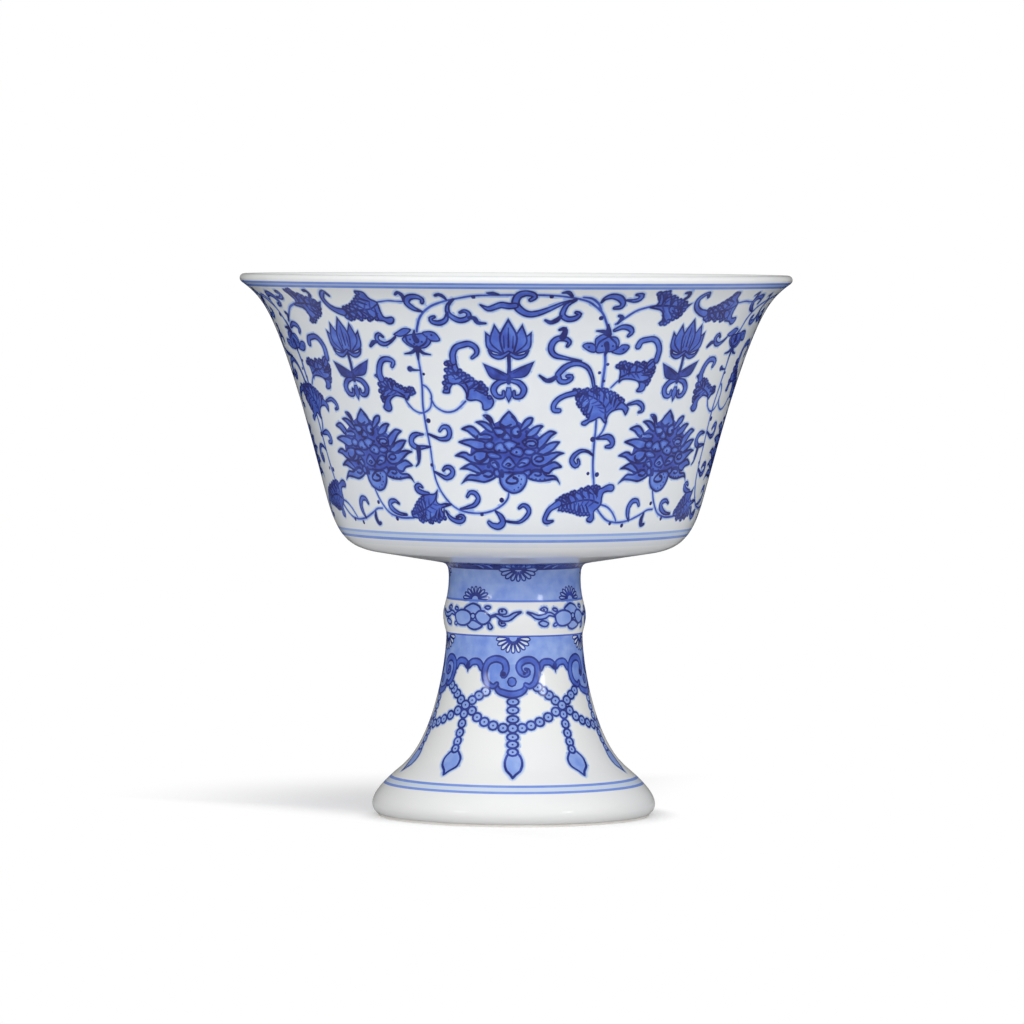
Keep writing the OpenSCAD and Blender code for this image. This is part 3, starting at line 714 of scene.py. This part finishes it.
curl([(14.8, 80.3), (14.3, 82), (13.4, 83.6), (12, 84.4), (10.6, 84.4), (9.4, 83.8), (8.5, 82.8),
    (8.3, 82.3), (8.8, 81.3), (9.8, 81.2), (10.6, 81.7), (10.6, 82.2), (9.9, 82.2)],
    (0.6, 0.7, 0.9, 1.05, 0.95, 0.7))
brush([(7.9, 82), (7.2, 81.5), (6.4, 81.4), (5.8, 81.8), (5.2, 82.3)], (0.8, 0.95, 0.7, 0.4), DARK)
curl([(12, 84.9), (10.5, 85.2), (9, 85.5), (7.6, 85.9), (6.9, 86.8), (7, 88), (7.8, 88.9), (9, 88.9),
    (9.8, 88.3), (9.5, 87.6)], (0.4, 0.6, 0.9, 1.05, 1.0, 0.6))
brush([(8.6, 89.2), (8.9, 90), (8.8, 90.7), (8, 90.5)], (1.2, 1.0, 0.8, 0.5), DARK)
curl([(16.5, 70.9), (17.5, 71.1), (18.8, 71.2), (19.7, 70.5), (19.7, 69.6), (18.6, 69.4)],
    (0.4, 0.9, 1.15, 1.0, 0.6))
curl([(16.1, 67.9), (15, 68.6), (13.6, 68.7), (12.4, 67.9), (12, 66.9), (12.8, 66), (13.4, 66.4),
    (13.2, 67.1)], (0.4, 0.6, 0.9, 1.0, 0.6))
leaf([(9.2, 59.6), (10, 60.2), (11, 60.8), (11.9, 61), (12.8, 61.5), (13.7, 61.4), (14.3, 61.9), (15, 61.8),
      (15.6, 62.3), (16.3, 62.2), (17, 62.4), (17.8, 62.4), (18.6, 62), (19.5, 62.4), (20.5, 62.7),
      (21.4, 62.5), (21.7, 61.8), (21.2, 61.2), (20.2, 61.2), (19.4, 60.9), (19.2, 60), (19.2, 59),
      (18.6, 58.2), (17.8, 57.6), (18, 56.4), (17.4, 55.6), (16.4, 55.8), (16.2, 56.4), (16.8, 57),
      (15.6, 57), (14.5, 57), (13.4, 57.4), (12.4, 57.6), (11.4, 57.8), (9.8, 57.8), (10, 58.4)],
     [(18.4, 59.2), (16.4, 59.8), (13.8, 59.6), (11.4, 59), (9.8, 58.8)], ((0, 12), (28, 34)))
curl([(10, 59.2), (8.3, 58.2), (7.5, 57), (7.3, 56.1), (8, 55.8), (9, 56)], (1.3, 1.0, 0.95, 0.9, 0.5))
curl([(26.5, 55.9), (25.9, 57), (25.8, 58.3), (26.6, 59.4), (27.8, 59.4), (28.4, 58.6)],
    (0.5, 0.9, 1.0, 0.9, 0.6))
brush([(30.3, 57.2), (29.9, 56), (30.3, 55), (31, 55.1)], (0.4, 0.9, 1.0, 0.6), DARK)
for axis in (0, second_axis):
    picture += [(outline + (axis, 0), strength) for outline, strength in lotus]
    upright_bud(axis)

bowl_picture = [(outline - (scroll_shift, 0), strength) for outline, strength in picture]
# Ruled lines, drawn with the cup turning on the wheel: two under the lip and two over the turn of the wall.
# Each is a band from one height to another, with the strength of its blue and its unevenness.
bowl_lines = ((52.0, 52.5, 0.4, 0.3), (52.5, 53.1, 0.16, 0), (53.1, 53.55, 0.3, 0.3),
              (97.7, 98.1, 0.44, 0.3), (98.1, 98.4, 0.26, 0), (98.4, 98.75, 0.44, 0.3))

# Upper stem painting
# Under the bowl a washed band with half flowers standing and hanging in it, then a white band with a
# floret and two sprays, four times round. Across is degrees turned into millimetres on a 13 mm radius.

picture = []
stem_turn = upper_turn = 13 * math.pi / 180
DARK = 0.84
HALO = 1.9


def round_stem(points, axis=0):
    """Points given in degrees from an axis and in heights, on the unrolled stem."""
    return (np.array(points, float) + (axis, 0)) * (stem_turn, 1)


def half_flower(angle, z, up, half, height, petals, heart):
    """Half a flower that opens upwards or downwards, with the outer petals under the inner ones."""
    c = angle * stem_turn
    wide = half * stem_turn
    for i in sorted(range(petals), key=lambda i: -abs(i - (petals - 1) / 2)):
        a = math.radians(-84 + 168 * i / (petals - 1))
        way = np.array([wide * math.sin(a), up * height * math.cos(a)])
        root, tip = (c, z) + 0.2 * way, (c, z) + way
        side = np.array([-way[1], way[0]]) / np.linalg.norm(way)
        w = 1.15 * wide / petals
        belly = root + 0.72 * (tip - root)
        point = tip - 0.2 * w * way / np.linalg.norm(way)
        outline = [root + 0.12 * side, belly + w * side, point, belly - w * side, root - 0.12 * side]
        blade(outline, 0.28, heart)


for angle in (-27, -19, 25, 33):
    way = math.copysign(5, angle - 3)
    brush(round_stem([(angle + way, 47.15), (angle, 46.35)]), (0.2, 0.4, 0.2), HEART, bleed=0)
half_flower(3, 46.1, 1, 17.5, 1.05, 9, HEART)
half_flower(3, 46.3, -1, 17.5, 2.6, 9, 0.34)
half_flower(-35.5, 40.6, 1, 14.5, 2.5, 9, 0.3)
floret, floret_z = -35.5, 37.48
for small_leaf in (
        [(-22.7, 38.73), (-21.1, 39.15), (-17.3, 38.97), (-16.6, 38.43), (-19.7, 38.21)],
        [(-21.3, 36.27), (-17.6, 36.58), (-16.7, 35.95), (-19.2, 35.46), (-22.1, 35.7)],
        [(9.6, 39.08), (11.6, 39.54), (15.2, 39.47), (16.2, 39.02), (13.3, 38.6)],
        [(13.3, 36.37), (15.4, 36.47), (18.2, 35.56), (16.3, 34.99), (13.4, 35.16)],
        [(23.2, 37.87), (21.9, 38.41), (23, 38.95), (27.1, 39.05), (29.8, 38.51), (29, 37.88),
         (26.5, 37.75)],
        [(23.3, 37.23), (22.3, 36.12), (25.6, 35.58), (29, 35.95), (28.1, 36.47), (25.7, 36.5)],
        [(-34, 38.8), (-29.8, 39.36), (-26.2, 38.97), (-27.3, 38.2), (-31, 38.3)],
        [(-35.2, 36.47), (-31, 36.9), (-25.6, 36.32), (-27.1, 35.6), (-30.7, 35.52), (-34.3, 35.91)]):
    blade(round_stem(small_leaf, floret), 0.34, PALE)
curl(round_stem([(14, 37.2), (20, 37.73), (23.3, 37.5), (26.5, 37.1), (31.3, 37.24), (36, 37.97),
    (40.2, 38.33)], floret), (0.45, 0.6, 1.0, 1.05, 0.9, 0.5), PALE, 0.34)
curl(round_stem([(-17, 37.2), (-25, 37.95), (-29.7, 37.54), (-35.7, 37.39), (-40.6, 37.95),
    (-43.8, 38.23)], floret), (0.45, 0.75, 1.0, 0.9, 0.5), PALE, 0.34)
for spot in ((25.4, 38.5), (25.2, 36.3), (-30, 38.7)):
    dot(*round_stem([spot], floret)[0], 0.26)
for round_petal in (
        [(-8, 38.87), (-4.8, 39.44), (-0.9, 39.74), (3.8, 39.41), (5.7, 38.79), (4.1, 38.23), (0.9, 37.94),
         (-3.7, 38.18)],
        [(-5.1, 35.96), (0.2, 36.47), (3.9, 36.22), (7.4, 35.69), (5.8, 35.21), (1.3, 34.9), (-3, 35.15)],
        [(-19.1, 37.58), (-15.6, 38.16), (-10.9, 38.3), (-6.2, 37.97), (-4.3, 37.26), (-5.4, 36.42),
         (-10, 35.92), (-15.4, 35.96), (-18.3, 36.57)],
        [(4.3, 37.51), (6.9, 38.25), (10.9, 38.27), (14.1, 37.83), (15.9, 37.29), (14.2, 36.55),
         (10.2, 36.17), (6.2, 36.6)]):
    middle = np.mean(round_petal, axis=0)
    closer = middle * (0.92, 1) + (0, 0.08 * (floret_z - middle[1]))
    blade(round_stem((np.array(round_petal) - middle) * 1.34 + closer, floret), 0.4, PALE)
dot(floret * stem_turn, floret_z, 0.66)
dot(floret * stem_turn, floret_z, 0.38, PALE)
upper_picture = picture
# A painted dark ring tops the stem; its part up the fillet is painted shade and painted reflection
upper_lines = ((40.1, 40.5, 0.5, 0.3), (40.5, 46.0, 0.35, 1.2), (46.0, 46.4, 0.9, 1), (46.4, 46.8, 0.9, 1),
               (46.8, 47.1, 0.9, 1), (47.1, 47.3, 0.9, 1), (47.3, 47.5, 0.3, 1))

# Lower stem painting
# A net of beads hung from five cloud heads, with tassels on it, under a washed collar with a scalloped edge.
# A fifth of the stem, painted five times round. Across is degrees on a 15 mm radius.

picture = []
stem_turn = lower_turn = 15 * math.pi / 180
COLLAR = 0.375


def bead(angle, z, wide=1.04, high=0.97, line=0.39):
    """A pierced bead with a dark line round it, as wide on the wall wherever it hangs."""
    a = np.arange(12) * math.tau / 12
    u = angle * stem_turn
    wide = wide * 15 / float(skin(z)[0])
    lay(np.c_[u + wide * np.cos(a), z + high * np.sin(a)], DARK, 0.2)
    lay(np.c_[u + (wide - line) * np.cos(a), z + (high - line) * np.sin(a)], PALE)
    dot(u, z, 0.18)


lay(round_stem([(-60, 33.4), (-60, 27), (-51.5, 28), (-48, 29.2), (-43, 29.2), (-38.6, 28.2), (-34, 29.2),
    (-29, 29.2), (-25.5, 28), (-14, 27), (10, 27), (20.5, 28), (24, 29.2), (29, 29.2), (33.4, 28.2),
    (38, 29.2), (43, 29.2), (46.5, 28), (58, 27), (58, 33.4)]), COLLAR)
for shift in (-72, 0):
    for arch in (
            [(20, 28), (23, 29.05), (29, 29.1), (33.2, 28.3)],
            [(33.6, 28.3), (37.5, 29.05), (43, 29.05), (46.3, 28)]):
        curl(round_stem(arch, shift), (1.25,), WASH, 0.36)
    brush(round_stem([(33.4, 28.6), (33.4, 27.3)], shift), (1.0, 0.3), DARK)
half_flower(-1, 33.6, -1, 15, 3.05, 9, 0.14)
for angle, z in ((-30.1, 20.21), (-25.5, 19.1), (-19.8, 18.31), (-13.6, 17.7), (-7, 17.3), (5.2, 17.3),
        (11, 17.75), (17, 18.35), (23.4, 19.17), (29.6, 20.1)):
    bead(angle, z)
for angle, z in ((-21.2, 23.75), (-26.1, 23), (-31.2, 22.1), (30.6, 22.1), (25.8, 23.1), (21.4, 23.9),
        (17.4, 24.6)):
    bead(angle, z)
for axis, top in ((-36.3, 21.2), (35.7, 21.2)):
    for z in (19.6, 17.85, 16.2, 14.65):
        bead(axis, z, 0.98, 0.98)
    blade(round_stem([(0, 13.7), (-3, 12.9), (-5.6, 11.7), (-5, 10.4), (-1.6, 9.4), (0.4, 8.6), (2.6, 9.35),
        (6, 10.3), (6.4, 11.8), (3.4, 13)], axis), 0.36, PALE)
    bead(axis, 13.35, 0.95, 0.9)
    bead(axis, top, 1.1, 1.0)
for z in (22.0, 20.5, 18.85, 15.7, 14.39):
    bead(-0.8, z, 1.2, 0.86)
blade(round_stem([(-0.6, 13.4), (-4.2, 12.6), (-5.5, 11.24), (-4.6, 9.93), (-2.2, 9.05), (-0.6, 8.4),
    (1.2, 9), (4, 9.85), (5.1, 11.25), (3.6, 12.6)]), 0.36, PALE)
bead(-0.7, 13.05, 1.15, 0.86)
bead(-0.8, 17.26, 1.1, 1.0)
lay(round_stem([(-6, 28.5), (-8, 29.22), (-14, 29.75), (-20, 29.18), (-23, 27.85), (-22.8, 26.44),
    (-20, 25.24), (-15.4, 24.71), (-11.4, 23.98), (-5.8, 23.45), (-1.6, 23.36), (3, 23.5), (7.2, 24.09),
    (11, 24.78), (15, 25.27), (17, 26.27), (18.2, 27.47), (17.6, 28.69), (13.6, 29.47), (7.2, 29.33),
    (3.5, 28.7), (-1.3, 28.8)]), 0.42)
curl(round_stem([(-13.7, 25), (-11.4, 23.98), (-5.8, 23.45), (-1.6, 23.3), (3, 23.5), (7.2, 24.09),
    (8.8, 25)]), (0.9, 1.25, 1.35, 1.25, 0.9), WASH, 0.36)
curl(round_stem([(-8, 26.9), (-6.3, 27.9), (-8, 29.22), (-14, 29.75), (-20.2, 29.2), (-23, 27.85),
    (-22.8, 26.44), (-20.4, 25.24), (-15.6, 24.71), (-13, 25.2)]),
    (1.4, 1.35, 1.3, 1.3, 1.3, 1.2, 0.9), WASH, 0.38)
curl(round_stem([(8.4, 27.9), (10.7, 27.7), (10.9, 27.15), (7.9, 26.85), (4.6, 27.41), (3.6, 28.52),
    (7.2, 29.4), (13, 29.55), (17.3, 28.75), (18, 27.47), (16.8, 26.27), (14.8, 25.27), (11.2, 24.78),
    (8.4, 25.1)]), (0.6, 1.0, 1.3, 1.35, 1.3, 1.3, 1.2, 0.9), WASH, 0.38)
dot(*round_stem([(-8, 27)])[0], 0.5)
dot(*round_stem([(7.6, 27.1)])[0], 0.36)
dot(*round_stem([(-1.7, 25.6)])[0], 1.0)
dot(*round_stem([(-1.7, 25.6)])[0], 0.7, WASH)
lower_picture = picture
lower_lines = ((5.95, 6.35, 0.4, 0.3), (6.35, 7.0, 0.12, 0), (7.0, 7.4, 0.4, 0.3),
               (33.4, 33.75, COLLAR, 1.2), (33.75, 34.05, 0.6, 0.3))

# Painted coat
# The painting is cut into small facets with the wall and rolled up onto it, and the plain parts of the coat
# (the lip and the inside, the underside of the bowl, the foot and the face against the body) are spun.

COLUMN = 3
FIRST = -47
MARGIN, ROW_GAP = 0.15, 0.3
BOWL_HIGH, BOWL_LOW = 98.95, 51.0
STEM_HIGH, STEM_MIDDLE, STEM_LOW = 47.6, 34.05, 5.6
BOWL_GROUND, STEM_GROUND = 0.032, 0.004
glaze = bmesh.new()
cobalt = glaze.faces.layers.float.new("cobalt")
blotch = glaze.faces.layers.float.new("blotch")


def cut(points, edges):
    """Triangles over the points that have all the edges among their sides."""
    made = delaunay_2d_cdt([Vector(p) for p in points], edges, [], 0, 1e-4, False)
    corners, facets = made[0], made[2]
    return np.array([tuple(p) for p in corners]), np.array([f for f in facets if len(f) == 3])


def paint(middle, shapes, lines):
    """Strength and unevenness of the blue at each place: the ruled lines first, then the shapes in turn."""
    strengths = np.where(middle[:, 1] > BOWL_LOW, BOWL_GROUND, STEM_GROUND)
    blotches = np.ones(len(middle))
    for bottom, top, strength, uneven in lines:
        between = (middle[:, 1] > bottom) & (middle[:, 1] < top)
        strengths[between], blotches[between] = strength, uneven
    for outline, strength in shapes:
        close = (middle >= outline.min(axis=0)) & (middle <= outline.max(axis=0))
        near = np.flatnonzero(close.all(axis=1))
        if len(near):
            near = near[in_outline(middle[near], outline) > 0]
            if strength == BLEED:
                near = near[strengths[near] < BLEED]
            strengths[near], blotches[near] = strength, 1.2 if strength == COLLAR else 1
    return strengths, blotches


def visible_edges(corners, facets, shades, ruled):
    """The borders between tones, without the corners at which they hardly bend."""
    sides = np.sort(np.vstack([facets[:, [0, 1]], facets[:, [1, 2]], facets[:, [2, 0]]]), axis=1)
    shades = np.tile(shades, 3)
    order = np.lexsort((sides[:, 1], sides[:, 0]))
    sides, shades = sides[order], shades[order]
    twin = (sides[1:] == sides[:-1]).all(axis=1)
    lone = ~np.r_[twin, False] & ~np.r_[False, twin]
    shown = np.r_[twin & (shades[1:] != shades[:-1]), False] | lone
    next_to = {}
    for i, j in sides[shown].tolist():
        next_to.setdefault(i, set()).add(j)
        next_to.setdefault(j, set()).add(i)
    fixed = set(sides[lone].ravel().tolist())
    fixed |= {i for i in next_to if min(abs(corners[i, 1] - z) for z in ruled) < 1e-3}
    for slack in (0.01, 0.014, 0.02):
        touched = set()
        for i in list(next_to):
            if i in fixed or len(next_to[i]) != 2 or i in touched:
                continue
            j, k = next_to[i]
            reach, out = corners[k] - corners[j], corners[i] - corners[j]
            long = math.hypot(*reach)
            if k in next_to[j] or long > 1.4 or abs(out[0] * reach[1] - out[1] * reach[0]) > slack * long:
                continue
            for end, other in ((j, k), (k, j)):
                next_to[end].discard(i)
                next_to[end].add(other)
            touched |= {j, k}
            del next_to[i]
    return [(i, j) for i in next_to for j in next_to[i] if i < j]


def roll_up(shapes, lines, scale, first, span, low, high, rows, spread=0):
    """Cut the shapes into facets on a sector of the wall, and lay the sector round the cup.
    Where spread is given, the sectors in front are wider than those at the back."""
    left, wide = first * scale, span * scale
    shown = []
    for outline, strength in sorted(shapes, key=lambda shape: shape[1] != BLEED):
        outline = np.c_[outline[:, 0], np.clip(outline[:, 1], low + MARGIN, high - MARGIN)]
        for move in (-wide, 0, wide):
            u = outline[:, 0] + move
            if u.max() > left and u.min() < left + wide:
                shown.append((np.c_[u, outline[:, 1]], strength))
    columns = np.arange(span // COLUMN + 1) * COLUMN * scale + left
    ruled = {z for line in lines for z in line[:2]}
    evenly = np.linspace(low, high, rows + 1)
    heights = {z for z in evenly if z in (low, high) or min(abs(z - y) for y in ruled) > ROW_GAP}
    heights = np.array(sorted(heights | ruled))
    rows = len(heights) - 1
    last = len(columns) - 1
    grid_points = [(u, z) for u in columns for z in heights]
    grid = {(i, j): i * (rows + 1) + j for i in range(last + 1) for j in range(rows + 1)}
    ruled_rows = [j for j in range(rows + 1) if j in (0, rows) or heights[j] in ruled]
    edges = [(grid[i, j], grid[i + 1, j]) for i in range(last) for j in ruled_rows]
    edges += [(grid[i, j], grid[i, j + 1]) for j in range(rows) for i in (0, last)]
    points = list(grid_points)
    for outline, strength in shown:
        start, count = len(points), len(outline)
        points += [tuple(p) for p in outline]
        edges += [(start + i, start + (i + 1) % count) for i in range(count)]
    # The first cut follows every stroke, and the second only the borders between tones
    for cutting in range(2):
        corners, facets = cut(points, edges)
        middle = corners[facets].mean(axis=1)
        kept = ((middle > (left, low)) & (middle < (left + wide, high))).all(axis=1)
        facets, middle = facets[kept], middle[kept]
        strengths, blotches = paint(middle, shown, lines)
        borders = visible_edges(corners, facets, strengths + 10 * blotches, ruled | {low, high})
        ends = sorted({i for border in borders for i in border})
        place = {i: k for k, i in enumerate(ends)}
        points = [tuple(p) for p in corners[ends]] + grid_points
        edges = [(place[i], place[j]) for i, j in borders]
    up = corners[:, 1]
    r = skin(up)[0]
    used = np.unique(facets)
    for k in range(360 // span):
        a = corners[:, 0] / scale * math.pi / 180 + math.radians(k * span)
        a += spread * np.sin(a) * np.clip((up - low) / 2, 0, 1) * np.clip((high - up) / 2, 0, 1)
        spots = np.c_[r * np.sin(a), -r * np.cos(a), up] / 1000
        made = {i: glaze.verts.new(spots[i]) for i in used}
        for f, strength, uneven in zip(facets, strengths, blotches):
            face = glaze.faces.new([made[i] for i in f])
            face[cobalt] = strength
            face[blotch] = uneven


def spin_up(path):
    """Spin a line of the section round the axis."""
    a = math.radians(FIRST)
    verts = [glaze.verts.new((r * math.sin(a) / 1000, -r * math.cos(a) / 1000, z / 1000)) for r, z in path]
    edges = [glaze.edges.new(pair) for pair in zip(verts, verts[1:])]
    bmesh.ops.spin(glaze, geom=verts + edges, cent=(0, 0, 0), axis=(0, 0, 1), angle=math.tau,
                   steps=360 // COLUMN, use_merge=True)


def edge_at(z):
    """The place on the outside where a painted part meets a plain one."""
    return [(skin(z)[0], z)]


# The inside has every third ring of the section, and the lip and the outside have them all
lip_rings = 12
clear = 0.05
outer = section[crest:glaze_end + 1]
inside = list(section[:crest - lip_rings:3]) + list(section[crest - lip_rings:crest])
lip = [p for p in outer if p[1] > BOWL_HIGH + clear]
under = [p for p in outer if STEM_HIGH + clear < p[1] < BOWL_LOW - clear]
foot = [p for p in outer if p[1] < STEM_LOW - clear]
against_body = list(section[glaze_end + 1:-1:3]) + [section[-1]]
spin_up(inside + lip + edge_at(BOWL_HIGH))
spin_up(edge_at(BOWL_LOW) + under + edge_at(STEM_HIGH))
spin_up(edge_at(STEM_LOW) + foot + against_body)
roll_up(bowl_picture, bowl_lines, bowl_turn, FIRST, 90, BOWL_LOW, BOWL_HIGH, 36)
roll_up(upper_picture, upper_lines, upper_turn, FIRST + 9, 90, STEM_MIDDLE, STEM_HIGH, 10)
roll_up(lower_picture, lower_lines, lower_turn, FIRST + 9, 72, STEM_LOW, STEM_MIDDLE, 24, 0.05)
bmesh.ops.remove_doubles(glaze, verts=glaze.verts, dist=2e-6)
bmesh.ops.recalc_face_normals(glaze, faces=glaze.faces)
for face in glaze.faces:
    face.smooth = True

glaze_data = bpy.data.meshes.new("painted_coat")
glaze.to_mesh(glaze_data)
glaze.free()
painted_coat = bpy.data.objects.new("painted_coat", glaze_data)
bpy.context.scene.collection.objects.link(painted_coat)

# The glaze is smooth over the facets, so the painted parts take the slope of the section
spots = np.empty(len(glaze_data.vertices) * 3)
glaze_data.vertices.foreach_get("co", spots)
spots = spots.reshape(-1, 3) * 1000
reach = np.hypot(spots[:, 0], spots[:, 1])
r, nr, nz = skin(spots[:, 2])
on_skin = (np.abs(reach - r) < 0.05) & (spots[:, 2] > STEM_LOW - 0.01) & (spots[:, 2] < BOWL_HIGH + 0.01)
straight = np.zeros_like(spots)
straight[on_skin, :2] = (nr / np.maximum(reach, 1e-6))[on_skin, None] * spots[on_skin, :2]
straight[on_skin, 2] = nz[on_skin]
glaze_data.normals_split_custom_set_from_vertices(straight.tolist())

# The UV sheet of the painting has the wall of the bowl in four quarters, the stem in a row under them and
# the plain parts, in the order of the section, in a strip along its lower edge.
counts = np.empty(len(glaze_data.polygons), int)
glaze_data.polygons.foreach_get("loop_total", counts)
corner = np.empty(len(glaze_data.loops), int)
glaze_data.loops.foreach_get("vertex_index", corner)
owner = np.repeat(np.arange(len(counts)), counts)
x_sum, y_sum, z_sum = (np.bincount(owner, spots[corner, axis]) for axis in range(3))
centre = np.degrees(np.arctan2(x_sum, -y_sum))[owner]
height = (z_sum / counts)[owner]
painted = (np.bincount(owner, on_skin[corner]) == counts)[owner]
aside = (np.degrees(np.arctan2(spots[corner, 0], -spots[corner, 1])) - centre + 180) % 360 - 180
aside[reach[corner] < 0.01] = 0
nearest = [np.argmin(np.hypot(section[:, 0] - a, section[:, 1] - z)) for a, z in zip(reach, spots[:, 2])]
along = np.array(nearest)[corner] / len(section)
turned = ((centre + 180) % 360 + aside) / 360
sheet = np.c_[0.012 + 0.976 * turned, 0.003 + 0.042 * along]
on_stem = painted & (height < STEM_HIGH)
stem_up = (spots[corner, 2] - STEM_LOW) / (STEM_HIGH - STEM_LOW)
sheet[on_stem, 1] = (0.055 + 0.295 * stem_up)[on_stem]
on_bowl = painted & (height > BOWL_LOW)
quarter = (centre - FIRST) % 360 // 90
across = ((centre - FIRST) % 90 + aside) / 90
bowl_up = (spots[corner, 2] - BOWL_LOW) / (BOWL_HIGH - BOWL_LOW)
sheet[on_bowl, 0] = (0.5 * (quarter % 2) + 0.005 + 0.49 * across)[on_bowl]
sheet[on_bowl, 1] = (0.36 + 0.32 * (quarter // 2) + 0.005 + 0.31 * bowl_up)[on_bowl]
glaze_data.uv_layers.new(name="OFBake").data.foreach_set("uv", sheet.ravel())

# The blue that bled out of a stroke is strongest along the stroke and thins to the bare ground.
bled_most = 0.32
charge = np.empty(len(counts))
glaze_data.attributes["cobalt"].data.foreach_get("value", charge)
glaze_data.attributes.remove(glaze_data.attributes["cobalt"])
palest = np.ones(len(spots))
np.minimum.at(palest, corner, charge[owner])
charge = charge[owner]
bled = np.isclose(charge, BLEED)
charge[bled] = np.where(palest[corner[bled]] < BLEED - 0.01, palest[corner[bled]], bled_most)
glaze_data.attributes.new("cobalt", "FLOAT", "CORNER").data.foreach_set("value", charge)

# The cobalt is uneven where it pooled, and the glaze over it is faintly blue where it lies thick. Towards
# the foot the colour is made a little darker and warmer, as painted shade. Its surface is glossy, with the
# soft ripple that it had when it melted.
painted_glaze, tree = new_finish("painted_glaze")
coat_place = put(tree, "TexCoord", {}, "Object")
stroke = put(tree, "Attribute", {}, "Fac", attribute_name="cobalt")
uneven = put(tree, "Attribute", {}, "Fac", attribute_name="blotch")
pooling = put(tree, "TexNoise", {"Vector": coat_place, "Scale": 420, "Detail": 3}, "Fac")
pooled = ranged(tree, pooling, 0.3, 0.7, -0.16, 0.12)
spread_out = put(tree, "Math", {0: pooled, 1: uneven, 2: 1}, operation="MULTIPLY_ADD")
thick = put(tree, "TexNoise", {"Vector": coat_place, "Scale": 45, "Detail": 2}, "Fac")
thick_tint = ranged(tree, thick, 0.3, 0.7, -0.012, 0.012)
charged = put(tree, "Math", {0: stroke, 1: spread_out, 2: thick_tint}, operation="MULTIPLY_ADD")
blue = tones(tree, charged, (
    (0.0, (0.84, 0.849, 0.852)), (0.14, (0.59, 0.69, 0.84)), (0.3, (0.32, 0.45, 0.82)),
    (0.45, (0.14, 0.25, 0.72)), (0.58, (0.072, 0.137, 0.57)), (0.7, (0.042, 0.073, 0.42)),
    (0.82, (0.027, 0.045, 0.265)), (1.0, (0.016, 0.016, 0.13))))
# Painted shade: the colour is a little darker and warmer from the middle of the stem down to the foot
coat_height = put(tree, "SeparateXYZ", {0: coat_place}, "Z")
foot_shade = tones(tree, coat_height, ((0.026, (0.92, 0.915, 0.905)), (0.036, (1, 1, 1))))
ripple = put(tree, "TexNoise", {"Vector": coat_place, "Scale": 90, "Detail": 1}, "Fac")
join(tree, tree.nodes["Principled BSDF"], {
    "Base Color": put(tree, "VectorMath", {0: blue, 1: foot_shade}, operation="MULTIPLY"),
    "Roughness": ranged(tree, thick, 0.3, 0.7, 0.1, 0.06),
    "IOR": 1.5,
    "Specular IOR Level": 0.34,
    "Normal": put(tree, "Bump", {"Height": ripple, "Strength": 0.25, "Distance": 0.00005}),
})
glaze_data.materials.append(painted_glaze)
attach(painted_coat, "root")
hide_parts("cup_glaze")

# Glaze in the foot
# A plain coat inside the hollow of the stem, which ends just short of the ring that the cup stands on.
# It was poured in and out again, so it has no painting under it and only the faint blue of the glaze.

plain_glaze, tree = new_finish("plain_glaze")
plain_place = put(tree, "TexCoord", {}, "Object")
plain_cloud = put(tree, "TexNoise", {"Vector": plain_place, "Scale": 90}, "Fac")
join(tree, tree.nodes["Principled BSDF"], {
    "Base Color": tones(tree, plain_cloud, ((0, (0.76, 0.81, 0.83)), (1, (0.82, 0.85, 0.86)))),
    "Roughness": 0.1,
})
dress("foot_glaze", plain_glaze)
